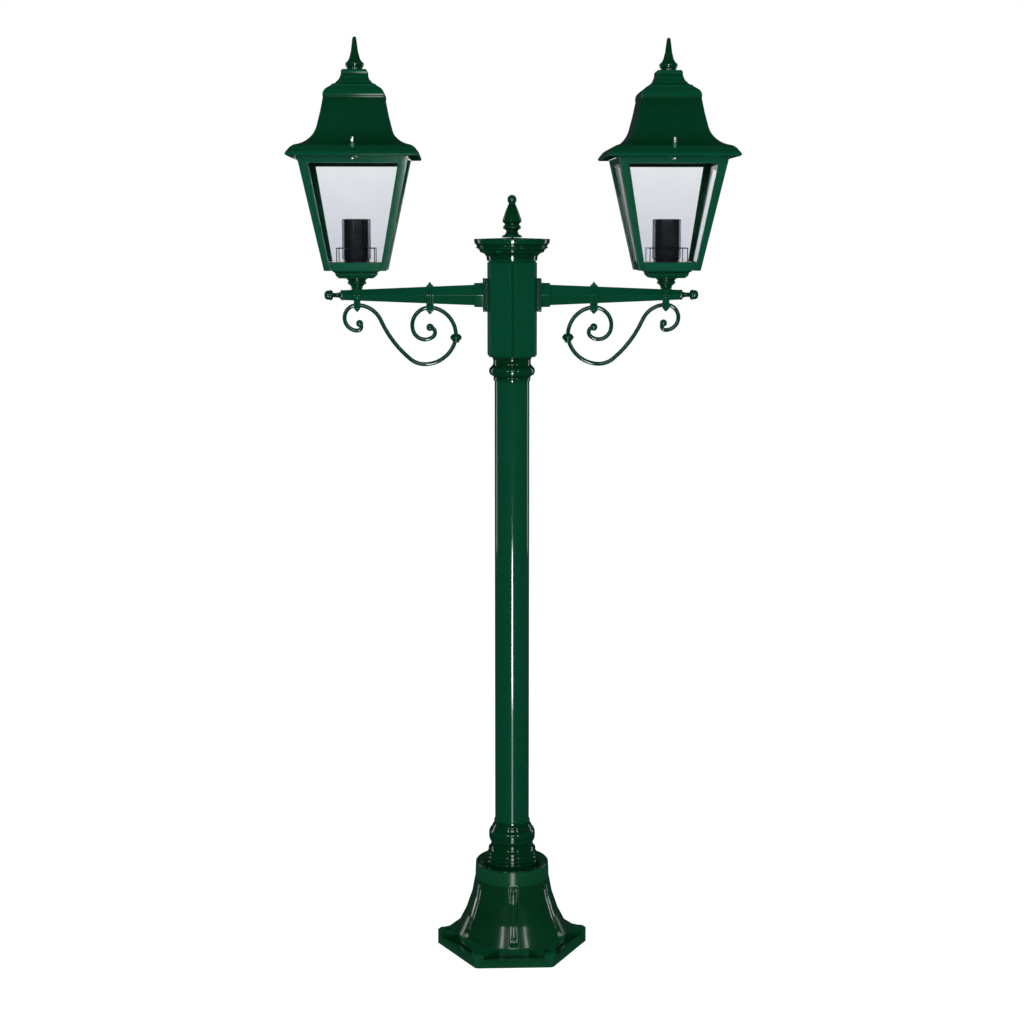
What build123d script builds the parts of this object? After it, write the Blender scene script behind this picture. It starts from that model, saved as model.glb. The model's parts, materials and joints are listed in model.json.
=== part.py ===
from build123d import *
from math import cos, hypot, radians, sin, sqrt
import os

# Two-lantern street lamp post. Millimetres, +Z up, origin at the centre of the base's underside.
# Each arm points along X, the front of the lamp faces -Y.

# ---- fits and gaps ----
moving_gap = 0.3        # between flat faces of pieces that move on each other
running_gap = 0.1       # radial gap of a pin or thread that turns in its hole
slip_gap = 0.2          # radial gap of fixed pieces that slide together

# ---- post tube ----
tube_radius = 30
tube_wall = 3
tube_top_height = 1040

# ---- base casting ----
base_across_flats = 232
base_corner_radius = 8
pad_height = 24         # raised pads at the hexagon's corners
rim_height = 15.5       # low rim along each side
tray_height = 12        # floor of the sunken tray behind the rim
rim_width = 5
tray_outer_half = 49
tray_inner_half = 25
base_wall = 5
foot_ring_radius = base_across_flats / 2 - 16
foot_ring_height = 28
bell_top_radius = tube_radius + 34.7
bell_top_height = 129
bell_hollow = 5.7       # how far the bell's side curves in from straight
flute_width = 14
flute_depth = 2
flute_foot_height = 32
flute_top_height = bell_top_height - 11
bead_width = 4.6
bead_drop_radius = 3.4
anchor_pcd = base_across_flats - 2
anchor_hole_radius = 5
anchor_boss_radius = 10
anchor_angles = (60, 180, 300)

# ---- cover ring on top of the bell ----
ring_radius = bell_top_radius + 0.6
ring_top_radius = ring_radius - 1
ring_top_height = bell_top_height + 24
ring_hole_radius = tube_radius + 17
ring_inner_height = ring_top_height - 8
neck_wall = 4.2         # the ring's skirt
shelf_height = bell_top_height + 8
shelf_thickness = 6
collar_flange_radius = tube_radius + 20.5
collar_flange_thickness = 5
foot_screw_circle = tube_radius + 24.4
foot_screw_radius = 2.5
foot_screw_head_radius = 4.6
foot_screw_recess_radius = 6.5
foot_screw_length = 24

# ---- the tube's two collars ----
tube_foot_height = shelf_height + 23
foot_collar_top = shelf_height + 92
top_collar_length = 43
collar_lip = 1.2        # thickness of a collar's thin edge on the tube
collar_spigot_radius = tube_radius + 13.5

# ---- hexagonal head ----
head_foot_height = tube_top_height + 12
head_height = 163
head_top_height = head_foot_height + head_height
top_collar_foot = head_foot_height - top_collar_length
head_across_flats = 84
head_panel_depth = 2
head_panel_gap = 2.6    # half of the groove at each corner
head_panel_margin = 3
head_wall = 4
head_floor = 5
head_spigot_radius = 26
head_nut_thickness = 6
cap_disc_radius = 64.9
cap_rise = 1.8
cap_top_height = head_top_height + 37.6
cap_wall = 3
stud_radius = 3
stud_bar_width = 12
finial_ball_radius = 7.7

# ---- arms ----
arm_height = head_foot_height + 105
gasket_thickness = 3
gasket_across = 56
socket_plate_thickness = 4.8
socket_plate_across = 57
socket_plate_depth = 43
socket_across_flats = 40.3
socket_end = head_across_flats / 2 + 23
arm_root_across_flats = 34.4
arm_tip_across_flats = 16.6
lantern_reach = 265     # lantern's axis from the post's axis
arm_end = lantern_reach + 25
arm_wall = 2.6
nipple_radius = 8
nipple_bore_radius = 5
arm_nut_across_flats = 24
arm_nut_thickness = 5
tip_ball_radius = 7.75
tip_neck_radius = 3.85
tip_neck_length = 9
tip_length = 30.5
tip_spigot_radius = 4
tip_spigot_length = 8

# ---- the lanterns' stems and seats ----
seat_radius = 10.2
seat_top_height = arm_height + 10.5
seat_bottom_height = arm_height - 6
pivot_radius = 5
pivot_bore_radius = 3.2
stem_foot_radius = 10
stem_top_height = arm_height + 29

# ---- scrollwork ----
rod_radius = 3.5
outer_rod_height = arm_height - 17
collar_ball_radius = 10
collar_ball_height = 12
rod_in_collar = 3
upper_start_heading = 91
upper_arcs = ((48, -79), (30.5, -121), (21.5, -111), (9, -138))
lower_start_heading = -81
lower_rise_arcs = ((54.5, 80.5), (38.5, 40.5), (185, 26), (44, -66))
lower_curl_arcs = ((21.8, -180), (6.7, -145))
upper_eye_radius = 6.5
lower_eye_radius = 6.2
clamp_wall = 1.4
inner_clamp_width = 12.4
outer_clamp_width = 11
clamp_point_height = 5

# ---- lantern body ----
lantern_height = 190
lantern_foot_height = stem_top_height + 13
lantern_top_height = lantern_foot_height + lantern_height
lantern_foot_half = 52.2
lantern_top_half = 92.1
strip_foot_width = 10.5
strip_top_width = 16
frame_wall = 3
top_rail_bottom = lantern_top_height - 12
lip_thickness = 5
gallery_top_height = lantern_foot_height + 14
gallery_wall = 3
gallery_recess = 1.2    # how far the band between the corner posts is set back
glass_thickness = 3
glass_clearance = 0.4
glass_edge_gap = 4      # from a pane's side to the corner of the lantern
shroud_radius = 24.5
shroud_wall = 1.8
shroud_top_height = gallery_top_height + 73
clip_height = gallery_top_height + 24
clip_half = shroud_radius + 8.5
clip_corner_radius = 4
clip_wire_radius = 0.9
holder_plate_radius = shroud_radius - shroud_wall - slip_gap
holder_plate_thickness = 5
shell_radius = 13.2     # inside of the lamp holder's threaded shell
shell_wall = 0.8
shell_top_height = gallery_top_height + 59
shell_length = 24

# ---- roof ----
roof_eave_half = 110
roof_eave_height = lantern_top_height + 0.7
roof_height = 117.3
roof_top_height = roof_eave_height + roof_height
roof_wall = 2.6
roof_cap_height = roof_top_height + 28
roof_screw_reach = 97
roof_screw_radius = 2
lug_thickness = 4
lug_width = 14
nut_seat_height = roof_eave_height + 21.3
nut_across_flats = 7
nut_body_height = 5
nut_dome_height = 5.5

# ---- wiring ----
lead_radius = 1.8
lead_bend_radius = 8
terminal_length = 30
terminal_width = 20
terminal_height = 17
bracket_width = 10


def chain(points):
    # Lines, or arcs where a third number gives the bulge, from each point to the next.
    edges = []
    for here, there in zip(points, points[1:]):
        start, end = here[:2], there[:2]
        if hypot(end[0] - start[0], end[1] - start[1]) < 1e-6:
            continue
        if len(there) == 3:
            edges.append(SagittaArc(start, end, there[2]))
        else:
            edges.append(Line(start, end))
    return edges


def half_section(points, bore=0):
    # The area between an outline of (radius, height) and the bore, upright on the XZ plane.
    bottom, top = points[0][1], points[-1][1]
    closed = list(points) + [(bore, top), (bore, bottom), points[0][:2]]
    return Plane.XZ * make_face(chain(closed))


def turned(points, bore=0):
    return revolve(half_section(points, bore), Axis.Z)


def squared(points):
    # A solid whose level sections are squares: (half width, height) down one side.
    half = half_section(points)
    section = half + mirror(half, about=Plane.YZ)
    reach = 2 * max(point[0] for point in points)
    slab = extrude(section, amount=reach, both=True)
    return slab & slab.rotate(Axis.Z, 90)


def prism(sketch, bottom, top):
    return extrude(Pos(0, 0, bottom) * sketch, amount=top - bottom)


def hexagon(across_flats, rotation=0):
    return RegularPolygon(across_flats / 2, 6, major_radius=False, rotation=rotation)


def hex_taper(across_near, across_far, near, far):
    # Along X, with flats above and below.
    sections = []
    for across, distance in ((across_near, near), (across_far, far)):
        sections.append(Plane.YZ.offset(distance) * hexagon(across))
    return loft(sections)


def dome(radius, height, z):
    # A round-topped cap that is lower than it is wide, standing on z.
    ball = (radius ** 2 + height ** 2) / (2 * height)
    return Pos(0, 0, z + height - ball) * Sphere(ball) & prism(Circle(radius), z, z + height)


def arc_chain(start, heading, arcs):
    # A smooth line of tangent arcs of (radius, turn), from a point and a heading in degrees.
    edges = []
    for radius, turn in arcs:
        direction = (cos(radians(heading)), sin(radians(heading)))
        edge = JernArc(start, direction, radius, turn)
        edges.append(edge)
        start = edge @ 1
        heading += turn
    return edges


def rod_along(edges, y=0):
    # A round rod along a flat line drawn in X and Z.
    path = Pos(0, y, 0) * Plane.XZ * Wire(edges)
    section = Plane(origin=path @ 0, z_dir=path % 0) * Circle(rod_radius)
    return sweep(section, path=path)


def save(shape, node):
    shape.label = node
    export_step(shape, "parts/" + node + ".step")


# ---- base ----
def bell_outline(depth):
    return [
        (foot_ring_radius - depth, foot_ring_height),
        (bell_top_radius - depth, bell_top_height, bell_hollow),
    ]


def upright_slot(width, foot, top, near, far):
    # A slot outline with a round head, standing in front of the axis and facing -Y.
    sketch = Rectangle(width, top - foot, align=(Align.CENTER, Align.MIN))
    sketch += Pos(0, top - foot) * Circle(width / 2)
    plane = Plane(origin=(0, -near, foot), x_dir=(1, 0, 0), z_dir=(0, -1, 0))
    return extrude(plane * sketch, amount=far - near)


def base_casting():
    inner = bell_top_radius - 10
    outer = foot_ring_radius + 10
    flange = prism(fillet(hexagon(base_across_flats).vertices(), base_corner_radius), 0, pad_height)
    face = base_across_flats / 2
    tray = Polygon(
        (-tray_inner_half, -foot_ring_radius + 4),
        (tray_inner_half, -foot_ring_radius + 4),
        (tray_outer_half, rim_width - face),
        (-tray_outer_half, rim_width - face),
        align=None,
    )
    rim = Polygon(
        (-tray_outer_half, rim_width - face),
        (tray_outer_half, rim_width - face),
        (tray_outer_half + 4, -face - 1),
        (-tray_outer_half - 4, -face - 1),
        align=None,
    )
    cut = prism(tray, tray_height, pad_height + 1) + prism(rim, rim_height, pad_height + 1)
    for side in range(6):
        flange -= cut.rotate(Axis.Z, 60 * side)

    bell = turned([(foot_ring_radius, 0), (foot_ring_radius, foot_ring_height)] + bell_outline(0)[1:])
    floor = turned([(foot_ring_radius, 0)] + bell_outline(flute_depth))
    raised = turned([(foot_ring_radius, 0)] + bell_outline(0.5))
    flute = upright_slot(flute_width, flute_foot_height, flute_top_height, inner, outer) - floor
    bead = upright_slot(bead_width, flute_foot_height + 8, flute_top_height - 4, inner, outer)
    drop = upright_slot(2 * bead_drop_radius, flute_top_height - 4, flute_top_height - 3, inner, outer)
    bead = (bead + drop) & raised
    for side in range(6):
        bell -= flute.rotate(Axis.Z, 60 * side)
    for side in range(6):
        bell += bead.rotate(Axis.Z, 60 * side)

    neck_radius = ring_radius - neck_wall - slip_gap
    shelf = turned([(neck_radius, bell_top_height - 1), (neck_radius, shelf_height)])
    casting = flange + bell + shelf
    hollow = turned(
        [
            (foot_ring_radius - base_wall, -1),
            (foot_ring_radius - base_wall, foot_ring_height - base_wall),
            (bell_top_radius - base_wall, bell_top_height - base_wall, bell_hollow),
            (bell_top_radius - base_wall, shelf_height - shelf_thickness),
        ]
    )
    casting -= hollow
    # the flange is hollow underneath, between its outer wall and the foot ring
    skirt = prism(hexagon(base_across_flats - 2 * base_wall), -1, tray_height - base_wall)
    casting -= skirt - Cylinder(foot_ring_radius, 4 * pad_height)
    casting -= Pos(0, 0, shelf_height) * Cylinder(collar_spigot_radius + slip_gap, 4 * shelf_thickness)
    for angle in anchor_angles:
        turn = Rot(0, 0, angle)
        boss = turn * Pos(anchor_pcd / 2, 0, 0) * prism(Circle(anchor_boss_radius), 0, pad_height)
        casting += boss & prism(hexagon(base_across_flats - base_wall), 0, pad_height)
        casting -= turn * Pos(anchor_pcd / 2, 0, -1) * prism(Circle(anchor_hole_radius), 0, pad_height + 2)
        lug_depth = foot_screw_length + 2
        lug = prism(Circle(foot_screw_radius + 3), shelf_height - lug_depth, shelf_height)
        casting += turn * Pos(foot_screw_circle, 0, 0) * lug
        thread = prism(Circle(foot_screw_radius), shelf_height - lug_depth + 2, shelf_height + 1)
        casting -= turn * Pos(foot_screw_circle, 0, 0) * thread
    return casting


def base_ring():
    flange_top = shelf_height + collar_flange_thickness
    neck = ring_radius - neck_wall
    outline = [
        (neck, bell_top_height + slip_gap),
        (ring_radius, bell_top_height + slip_gap),
        (ring_top_radius, ring_top_height - 0.8),
        (ring_top_radius - 1, ring_top_height),
        (ring_hole_radius, ring_inner_height),
        (ring_hole_radius, flange_top),
        (collar_flange_radius + slip_gap, flange_top),
        (collar_flange_radius + slip_gap, shelf_height),
        (neck, shelf_height),
        (neck, bell_top_height + slip_gap),
    ]
    ring = revolve(Plane.XZ * make_face(chain(outline)), Axis.Z)
    seat = foot_screw_seat()
    for angle in anchor_angles:
        place = Rot(0, 0, angle) * Pos(foot_screw_circle, 0, 0)
        ring -= place * prism(Circle(foot_screw_radius + slip_gap), shelf_height - 1, ring_top_height)
        ring -= place * prism(Circle(foot_screw_recess_radius), seat, ring_top_height + 1)
    return ring


def foot_screw_seat():
    # the flat under each screw head, sunk below the sloping face
    slope = (ring_top_height - ring_inner_height) / (ring_top_radius - ring_hole_radius)
    face = ring_inner_height + (foot_screw_circle - ring_hole_radius) * slope
    return face - 2.6


def foot_screws():
    seat = foot_screw_seat()
    shank = prism(Circle(foot_screw_radius), seat - foot_screw_length, seat)
    head = dome(foot_screw_head_radius, 3, seat)
    slot = Pos(0, 0, seat + 2.6) * (Box(5.2, 1, 2) + Box(1, 5.2, 2))
    screw = shank + head - slot
    group = []
    for angle in anchor_angles:
        group.append(Rot(0, 0, angle) * Pos(foot_screw_circle, 0, 0) * screw)
    return Compound(children=group)


def foot_collar():
    z = foot_collar_top
    bore = tube_radius + slip_gap
    outline = [
        (collar_spigot_radius, shelf_height - shelf_thickness - 4),
        (collar_spigot_radius, shelf_height),
        (collar_flange_radius, shelf_height),
        (collar_flange_radius, shelf_height + collar_flange_thickness),
        (bore + 15.3, shelf_height + collar_flange_thickness),
        (bore + 15.3, z - 73),
        (bore + 14.4, z - 71),
        (bore + 14.4, z - 66),
        (bore + 13.2, z - 64.5),
        (bore + 13.2, z - 61),
        (bore + 11.7, z - 53, 0.8),
        (bore + 7, z - 42.4, 1.6),
        (bore + 8.1, z - 39),
        (bore + 10.5, z - 28.3, -1.0),
        (bore + 8.4, z - 17.7, -1.0),
        (bore + 4.3, z - 10.7, 0.6),
        (bore + 1.7, z - 7),
        (bore + collar_lip, z),
    ]
    collar = turned(outline, bore)
    return collar + turned([(bore + 1, shelf_height - shelf_thickness - 4), (bore + 1, tube_foot_height)],
                           bore - tube_wall - 1)


def post_tube():
    return prism(Circle(tube_radius) - Circle(tube_radius - tube_wall), tube_foot_height, tube_top_height)


def top_collar():
    z = top_collar_foot
    top = head_foot_height
    bore = tube_radius + slip_gap
    outline = [
        (bore + collar_lip, z),
        (bore + 1.7, z + 4.2),
        (bore + 1.2, z + 7),
        (bore + 6.1, z + 10.6, 0.8),
        (bore + 9.4, z + 17.7, -0.8),
        (bore + 6.2, z + 24.8, -0.9),
        (bore + 2.2, z + 31),
        (bore + 2.2, z + 36),
        (bore + 8.2, top, 2.0),
    ]
    collar = turned(outline)
    collar -= prism(Circle(bore), z - 1, tube_top_height)
    collar += prism(Circle(head_spigot_radius), top, top + head_floor + head_nut_thickness + 2)
    collar -= prism(Circle(head_spigot_radius - head_wall), z, top + 40)
    return collar


# ---- head ----
def head_body():
    core = head_across_flats - 2 * head_panel_depth
    body = prism(fillet(hexagon(core, 30).vertices(), 2.5), head_foot_height, head_top_height)
    side = core / sqrt(3) - 2 * head_panel_gap
    height = head_top_height - head_foot_height - 2 * head_panel_margin
    middle = (head_top_height + head_foot_height) / 2
    panel = Pos(core / 2 + head_panel_depth / 2 - 0.5, 0, middle) * Box(head_panel_depth + 1, side, height)
    panel = fillet(panel.faces().sort_by(Axis.X)[-1].edges(), 1.2)
    for turn in range(6):
        body += panel.rotate(Axis.Z, 60 * turn)
    body -= prism(hexagon(core - 2 * head_wall, 30), head_foot_height + head_floor, head_top_height + 1)
    floor_top = head_foot_height + head_floor
    body -= prism(Circle(head_spigot_radius + slip_gap), head_foot_height - 1, floor_top + 1)
    for turn in (0, 180):
        hole = Rot(0, 90, 0) * Cylinder(nipple_radius + slip_gap, 20)
        hole = Pos(head_across_flats / 2, 0, arm_height) * hole
        body -= hole.rotate(Axis.Z, turn)
    # the bar across the inside that holds the cap's stud
    bar = Pos(0, 0, head_top_height - 17) * Box(core - head_wall, stud_bar_width, 6)
    return body + bar - prism(Circle(stud_radius), head_top_height - 24, head_top_height)


def cap_outline(inset):
    z = cap_top_height
    return [
        (43 - inset, z - 37),
        (44 - inset, z - 30),
        (54.5 - inset, z - 22.9, 1.6),
        (55.7 - inset, z - 19.6),
        (61.8 - inset, z - 15.9, 0.6),
        (60.3 - inset, z - 12.3),
        (63.1 - inset, z - 8.8, 0.4),
        (cap_disc_radius - inset, z),
    ]


def head_cap():
    foot = head_top_height + moving_gap
    top = cap_top_height
    outline = [(point if point[1] > foot else (point[0], foot)) for point in cap_outline(0)]
    cap = turned(outline + [(0, top + cap_rise)])
    pocket = turned(
        [(38, foot - 1), (38, top - 30), (50, top - 21), (50, top - 12), (58, top - 6), (58, top - cap_wall)]
    )
    cap -= pocket
    boss = prism(Circle(14), foot + 4, top - 1)
    cap += boss
    return cap - prism(Circle(stud_radius + running_gap), foot, top + 3)


def head_finial():
    z = cap_top_height + cap_rise + moving_gap
    finial_ball_height = z + 64.3
    outline = [
        (16.7, z),
        (17.2, z + 1, -0.1),
        (16.6, z + 3.4),
        (11.4, z + 6.8, 0.8),
        (10, z + 10.4),
        (11.9, z + 13.6, 0.4),
        (15.4, z + 17.2, -0.5),
        (13.4, z + 20.8, -0.3),
        (13.4, z + 24.4, 0.5),
        (16.7, z + 27.8, -0.4),
        (5.6, z + 57.5),
        (5.6, finial_ball_height),
    ]
    finial = turned(outline) + Pos(0, 0, finial_ball_height) * Sphere(finial_ball_radius)
    return finial - prism(Circle(stud_radius + running_gap), z - 1, z + 26)


def head_stud():
    return prism(Circle(stud_radius), head_top_height - 24, cap_top_height + cap_rise + 24)


# ---- arms, built on the right-hand side ----
def arm_gaskets():
    start = head_across_flats / 2
    sketch = RectangleRounded(socket_plate_depth, gasket_across, 3) - Circle(nipple_radius + 1)
    gasket = extrude(Plane.YZ.offset(start) * sketch, amount=gasket_thickness)
    gasket = Pos(0, 0, arm_height) * gasket
    return Compound(children=[gasket, gasket.rotate(Axis.Z, 180)])


def arm_socket():
    start = head_across_flats / 2 + gasket_thickness
    middle = start + socket_plate_thickness
    sketch = RectangleRounded(socket_plate_depth, socket_plate_across, 3)
    plate = extrude(Plane.YZ.offset(start) * sketch, amount=socket_plate_thickness)
    plate = fillet(plate.faces().sort_by(Axis.X)[-1].edges(), 1.2)
    ferrule = hex_taper(socket_across_flats + 0.8, socket_across_flats, middle, socket_end)
    ferrule = chamfer(ferrule.faces().sort_by(Axis.X)[-1].edges(), 1)
    socket = plate + ferrule
    seat = Plane.YZ.offset(middle) * hexagon(arm_root_across_flats + 2 * slip_gap)
    socket -= extrude(seat, amount=30)
    socket -= Pos(start, 0, 0) * Rot(0, 90, 0) * Cylinder(nipple_radius + slip_gap, 40)
    return Pos(0, 0, arm_height) * socket


def arm_nipples():
    start = head_across_flats / 2 - head_wall - head_panel_depth - arm_nut_thickness
    end = head_across_flats / 2 + gasket_thickness + socket_plate_thickness + 10
    tube = Plane.YZ.offset(start - 2) * (Circle(nipple_radius) - Circle(nipple_bore_radius))
    nipple = extrude(tube, amount=end - start + 2)
    ring = hexagon(arm_nut_across_flats) - Circle(nipple_radius - 1)
    nipple += extrude(Plane.YZ.offset(start) * ring, amount=arm_nut_thickness)
    nipple = Pos(0, 0, arm_height) * nipple
    return Compound(children=[nipple, nipple.rotate(Axis.Z, 180)])


def arm_across(distance):
    # the arm's height where it is cut at a distance from the post's axis
    share = (distance - socket_end) / (arm_end - socket_end)
    return arm_root_across_flats + (arm_tip_across_flats - arm_root_across_flats) * share


def arm():
    root = head_across_flats / 2 + gasket_thickness + socket_plate_thickness
    outer = hex_taper(arm_across(socket_end), arm_tip_across_flats, socket_end, arm_end)
    plug = extrude(Plane.YZ.offset(root) * hexagon(arm_root_across_flats), amount=socket_end - root)
    inner = hex_taper(arm_across(root + 12) - 2 * arm_wall, arm_across(arm_end - 12) - 2 * arm_wall,
                      root + 12, arm_end - 12)
    body = outer + plug - inner
    body -= Pos(root, 0, 0) * Rot(0, 90, 0) * Cylinder(nipple_radius, 30)
    body -= Pos(arm_end, 0, 0) * Rot(0, 90, 0) * Cylinder(tip_spigot_radius, 2 * tip_spigot_length)
    body = Pos(0, 0, arm_height) * body
    seat = prism(Circle(seat_radius), seat_bottom_height, seat_top_height)
    chamber = Pos(lantern_reach, 0, arm_height) * Box(30, 14, arm_across(lantern_reach) - 2 * arm_wall)
    body += Pos(lantern_reach, 0, 0) * seat
    body -= chamber & (Pos(0, 0, arm_height) * inner)
    bore = prism(Circle(pivot_radius + running_gap), arm_height, seat_top_height + 1)
    return body - Pos(lantern_reach, 0, 0) * bore


def arm_tip():
    ball = tip_length - tip_ball_radius
    outline = [
        (tip_spigot_radius, -tip_spigot_length),
        (tip_spigot_radius, 0),
        (arm_tip_across_flats / 2 + 0.6, 0),
        (arm_tip_across_flats / 2 + 0.6, 1.6),
        (tip_neck_radius, tip_neck_length, 1.2),
        (tip_neck_radius, ball),
    ]
    tip = turned(outline) + Pos(0, 0, ball) * Sphere(tip_ball_radius)
    return Pos(arm_end, 0, arm_height) * Rot(0, 90, 0) * tip


# ---- scrollwork ----
def scroll_lines():
    # drawn from the collar, then moved so that the lower rod's crest is under the lantern
    lower = arc_chain((0, 0), lower_start_heading, lower_rise_arcs + lower_curl_arcs)
    crest = lower[len(lower_rise_arcs) - 1] @ 1
    shift = Pos(lantern_reach - crest.X, outer_rod_height - crest.Y)
    upper = arc_chain((0, rod_in_collar), upper_start_heading, upper_arcs)
    return [shift * edge for edge in upper], [shift * edge for edge in lower]


def flat_point(point):
    return Vector(point.X, 0, point.Y)


def scroll_collar():
    upper, lower = scroll_lines()
    place = flat_point(lower[0] @ 0)
    half = collar_ball_height / 2
    outline = [
        (rod_radius + 1.6, -half - 3),
        (rod_radius + 2.4, -half),
        (collar_ball_radius - 3, -half + 1, 0.3),
        (collar_ball_radius, 0, -0.8),
        (collar_ball_radius - 3, half - 1, -0.8),
        (rod_radius + 1.6, half),
    ]
    collar = Pos(*place) * turned(outline)
    return collar


def scroll(edges, eye_radius):
    rod = rod_along(edges)
    end = flat_point(edges[-1] @ 1)
    return rod + Pos(*end) * Sphere(eye_radius)


def crest_of(edges):
    # the highest point of a scroll's line
    best = None
    for edge in edges:
        for step in range(21):
            point = edge @ (step / 20)
            if best is None or point.Y > best.Y:
                best = point
    return best


def clamp(distance, rod_height, width, knob):
    # A strap that wraps the arm and the rod below it, with a pyramid point at each free end.
    across = arm_across(distance) + 2 * clamp_wall
    band = Plane.YZ.offset(-width / 2) * (hexagon(across) - hexagon(across - 2 * clamp_wall))
    strap = Pos(distance, 0, arm_height) * extrude(band, amount=width)
    arm_bottom = arm_height - arm_across(distance) / 2
    foot = rod_height - rod_radius - 3
    block = Box(width, 2 * rod_radius + 4, arm_bottom - foot, align=(Align.CENTER, Align.CENTER, Align.MIN))
    block = Pos(distance, 0, foot) * block
    point = Pos(distance, 0, foot) * Rot(180, 0, 0) * clamp_point(width, 2 * rod_radius + 4)
    strap += block + point
    if knob:
        top = arm_height + across / 2
        strap += Pos(distance, 0, top - 0.6) * clamp_point(width, width)
        strap += Pos(distance, 0, top + clamp_point_height) * Sphere(1.8)
    arm_core = Pos(0, 0, arm_height) * hex_taper(arm_across(distance - width), arm_across(distance + width),
                                                 distance - width, distance + width)
    return strap - arm_core


def clamp_point(width, depth):
    base = Rectangle(width, depth)
    tip = Pos(0, 0, clamp_point_height) * Rectangle(2, 2)
    return loft([base, tip])


def clamps():
    upper, lower = scroll_lines()
    inner_crest = crest_of(upper)
    inner = clamp(inner_crest.X, inner_crest.Y, inner_clamp_width, True)
    outer = clamp(lantern_reach, outer_rod_height, outer_clamp_width, False)
    chamber = prism(Circle(seat_radius), seat_bottom_height, seat_top_height + 1)
    outer -= Pos(lantern_reach, 0, 0) * chamber
    return inner, outer


# ---- wiring ----
def terminal_block():
    block = Pos(0, 0, arm_height) * Box(terminal_length, terminal_width, terminal_height)
    foot = Pos(0, terminal_width / 2 + 1, arm_height) * Box(terminal_length - 8, 3, 24)
    # the bracket reaches the corner at the back of the head
    back_corner = (head_across_flats - 2 * head_panel_depth - 2 * head_wall) / sqrt(3)
    rest_length = back_corner - bracket_width / 2 / sqrt(3) - terminal_width / 2
    rest = Pos(0, terminal_width / 2 + rest_length / 2, arm_height - 10) * Box(bracket_width, rest_length, 3)
    return block + foot + rest


def lamp_lead():
    start = terminal_length / 2
    bend = lead_bend_radius
    route = [
        Line((start, arm_height), (lantern_reach - bend, arm_height)),
        JernArc((lantern_reach - bend, arm_height), (1, 0), bend, 90),
        Line((lantern_reach, arm_height + bend), (lantern_reach, gallery_top_height - 1)),
    ]
    path = Plane.XZ * Wire(route)
    section = Plane(origin=path @ 0, z_dir=path % 0) * Circle(lead_radius)
    return sweep(section, path=path)


# ---- lantern, built on the post's axis ----
def lantern_stem():
    foot = seat_top_height + moving_gap
    outline = [
        (stem_foot_radius, foot),
        (stem_foot_radius, foot + 3.6),
        (15.8, foot + 8.6, 1.1),
        (15.8, foot + 11.8),
        (14.8, foot + 12.8),
        (18.5, stem_top_height - 1, 0.6),
        (18.5, stem_top_height),
    ]
    stem = turned(outline)
    stem += prism(Circle(pivot_radius), arm_height + 4, foot)
    stem += prism(Circle(pivot_radius), stem_top_height, gallery_top_height)
    return stem - prism(Circle(pivot_bore_radius), arm_height, gallery_top_height + 1)


def lantern_gallery():
    # the band fills the frame between the corner posts, and an ogee foot hangs below it
    band_foot, band_top = lantern_foot_height, gallery_top_height
    foot = [
        (26.5, stem_top_height),
        (34.4, stem_top_height + 7.2, -1.4),
        (35, stem_top_height + 9.6),
        (38.8, stem_top_height + 11.4),
        (38.8, band_foot + 1),
    ]
    gallery = squared(foot)
    core = frustum(band_foot, band_top, frame_wall + slip_gap)
    gallery += core
    for turn in (0, 90, 180, 270):
        gallery += band_face().rotate(Axis.Z, turn)
    well = [
        (22, stem_top_height + gallery_wall),
        (30, stem_top_height + 8),
        (frame_inner(band_foot) - 8, band_foot + 2),
        (frame_inner(band_foot) - 8, band_top - gallery_wall),
    ]
    gallery -= squared(well)
    return gallery - prism(Circle(pivot_radius + slip_gap), stem_top_height - 1, gallery_top_height + 1)


def band_face():
    # the part of the band that shows between two corner posts, on the front
    low, high = lantern_foot_height, gallery_top_height
    outline = Plane.XZ * Polygon(
        (strip_inner(low), low),
        (-strip_inner(low), low),
        (-strip_inner(high), high),
        (strip_inner(high), high),
        align=None,
    )
    front = extrude(outline, amount=2 * lantern_top_half) & frustum(low, high, gallery_recess)
    return front - Pos(0, lantern_top_half, 0) * Box(400, 2 * lantern_top_half, 4 * high)


def strip_inner(height):
    # half the clear width between two corner posts, less their fitting gap
    share = (height - lantern_foot_height) / (lantern_top_height - lantern_foot_height)
    return frame_half(height) - strip_foot_width - (strip_top_width - strip_foot_width) * share - slip_gap


def frame_half(height, inset=0):
    # the lantern's outer half width at a height
    share = (height - lantern_foot_height) / (lantern_top_height - lantern_foot_height)
    return lantern_foot_half + (lantern_top_half - lantern_foot_half) * share - inset


def frame_inner(height):
    return frame_half(height, frame_wall)


def frustum(bottom, top, inset):
    return squared([(frame_half(bottom, inset), bottom), (frame_half(top, inset), top)])


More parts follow.
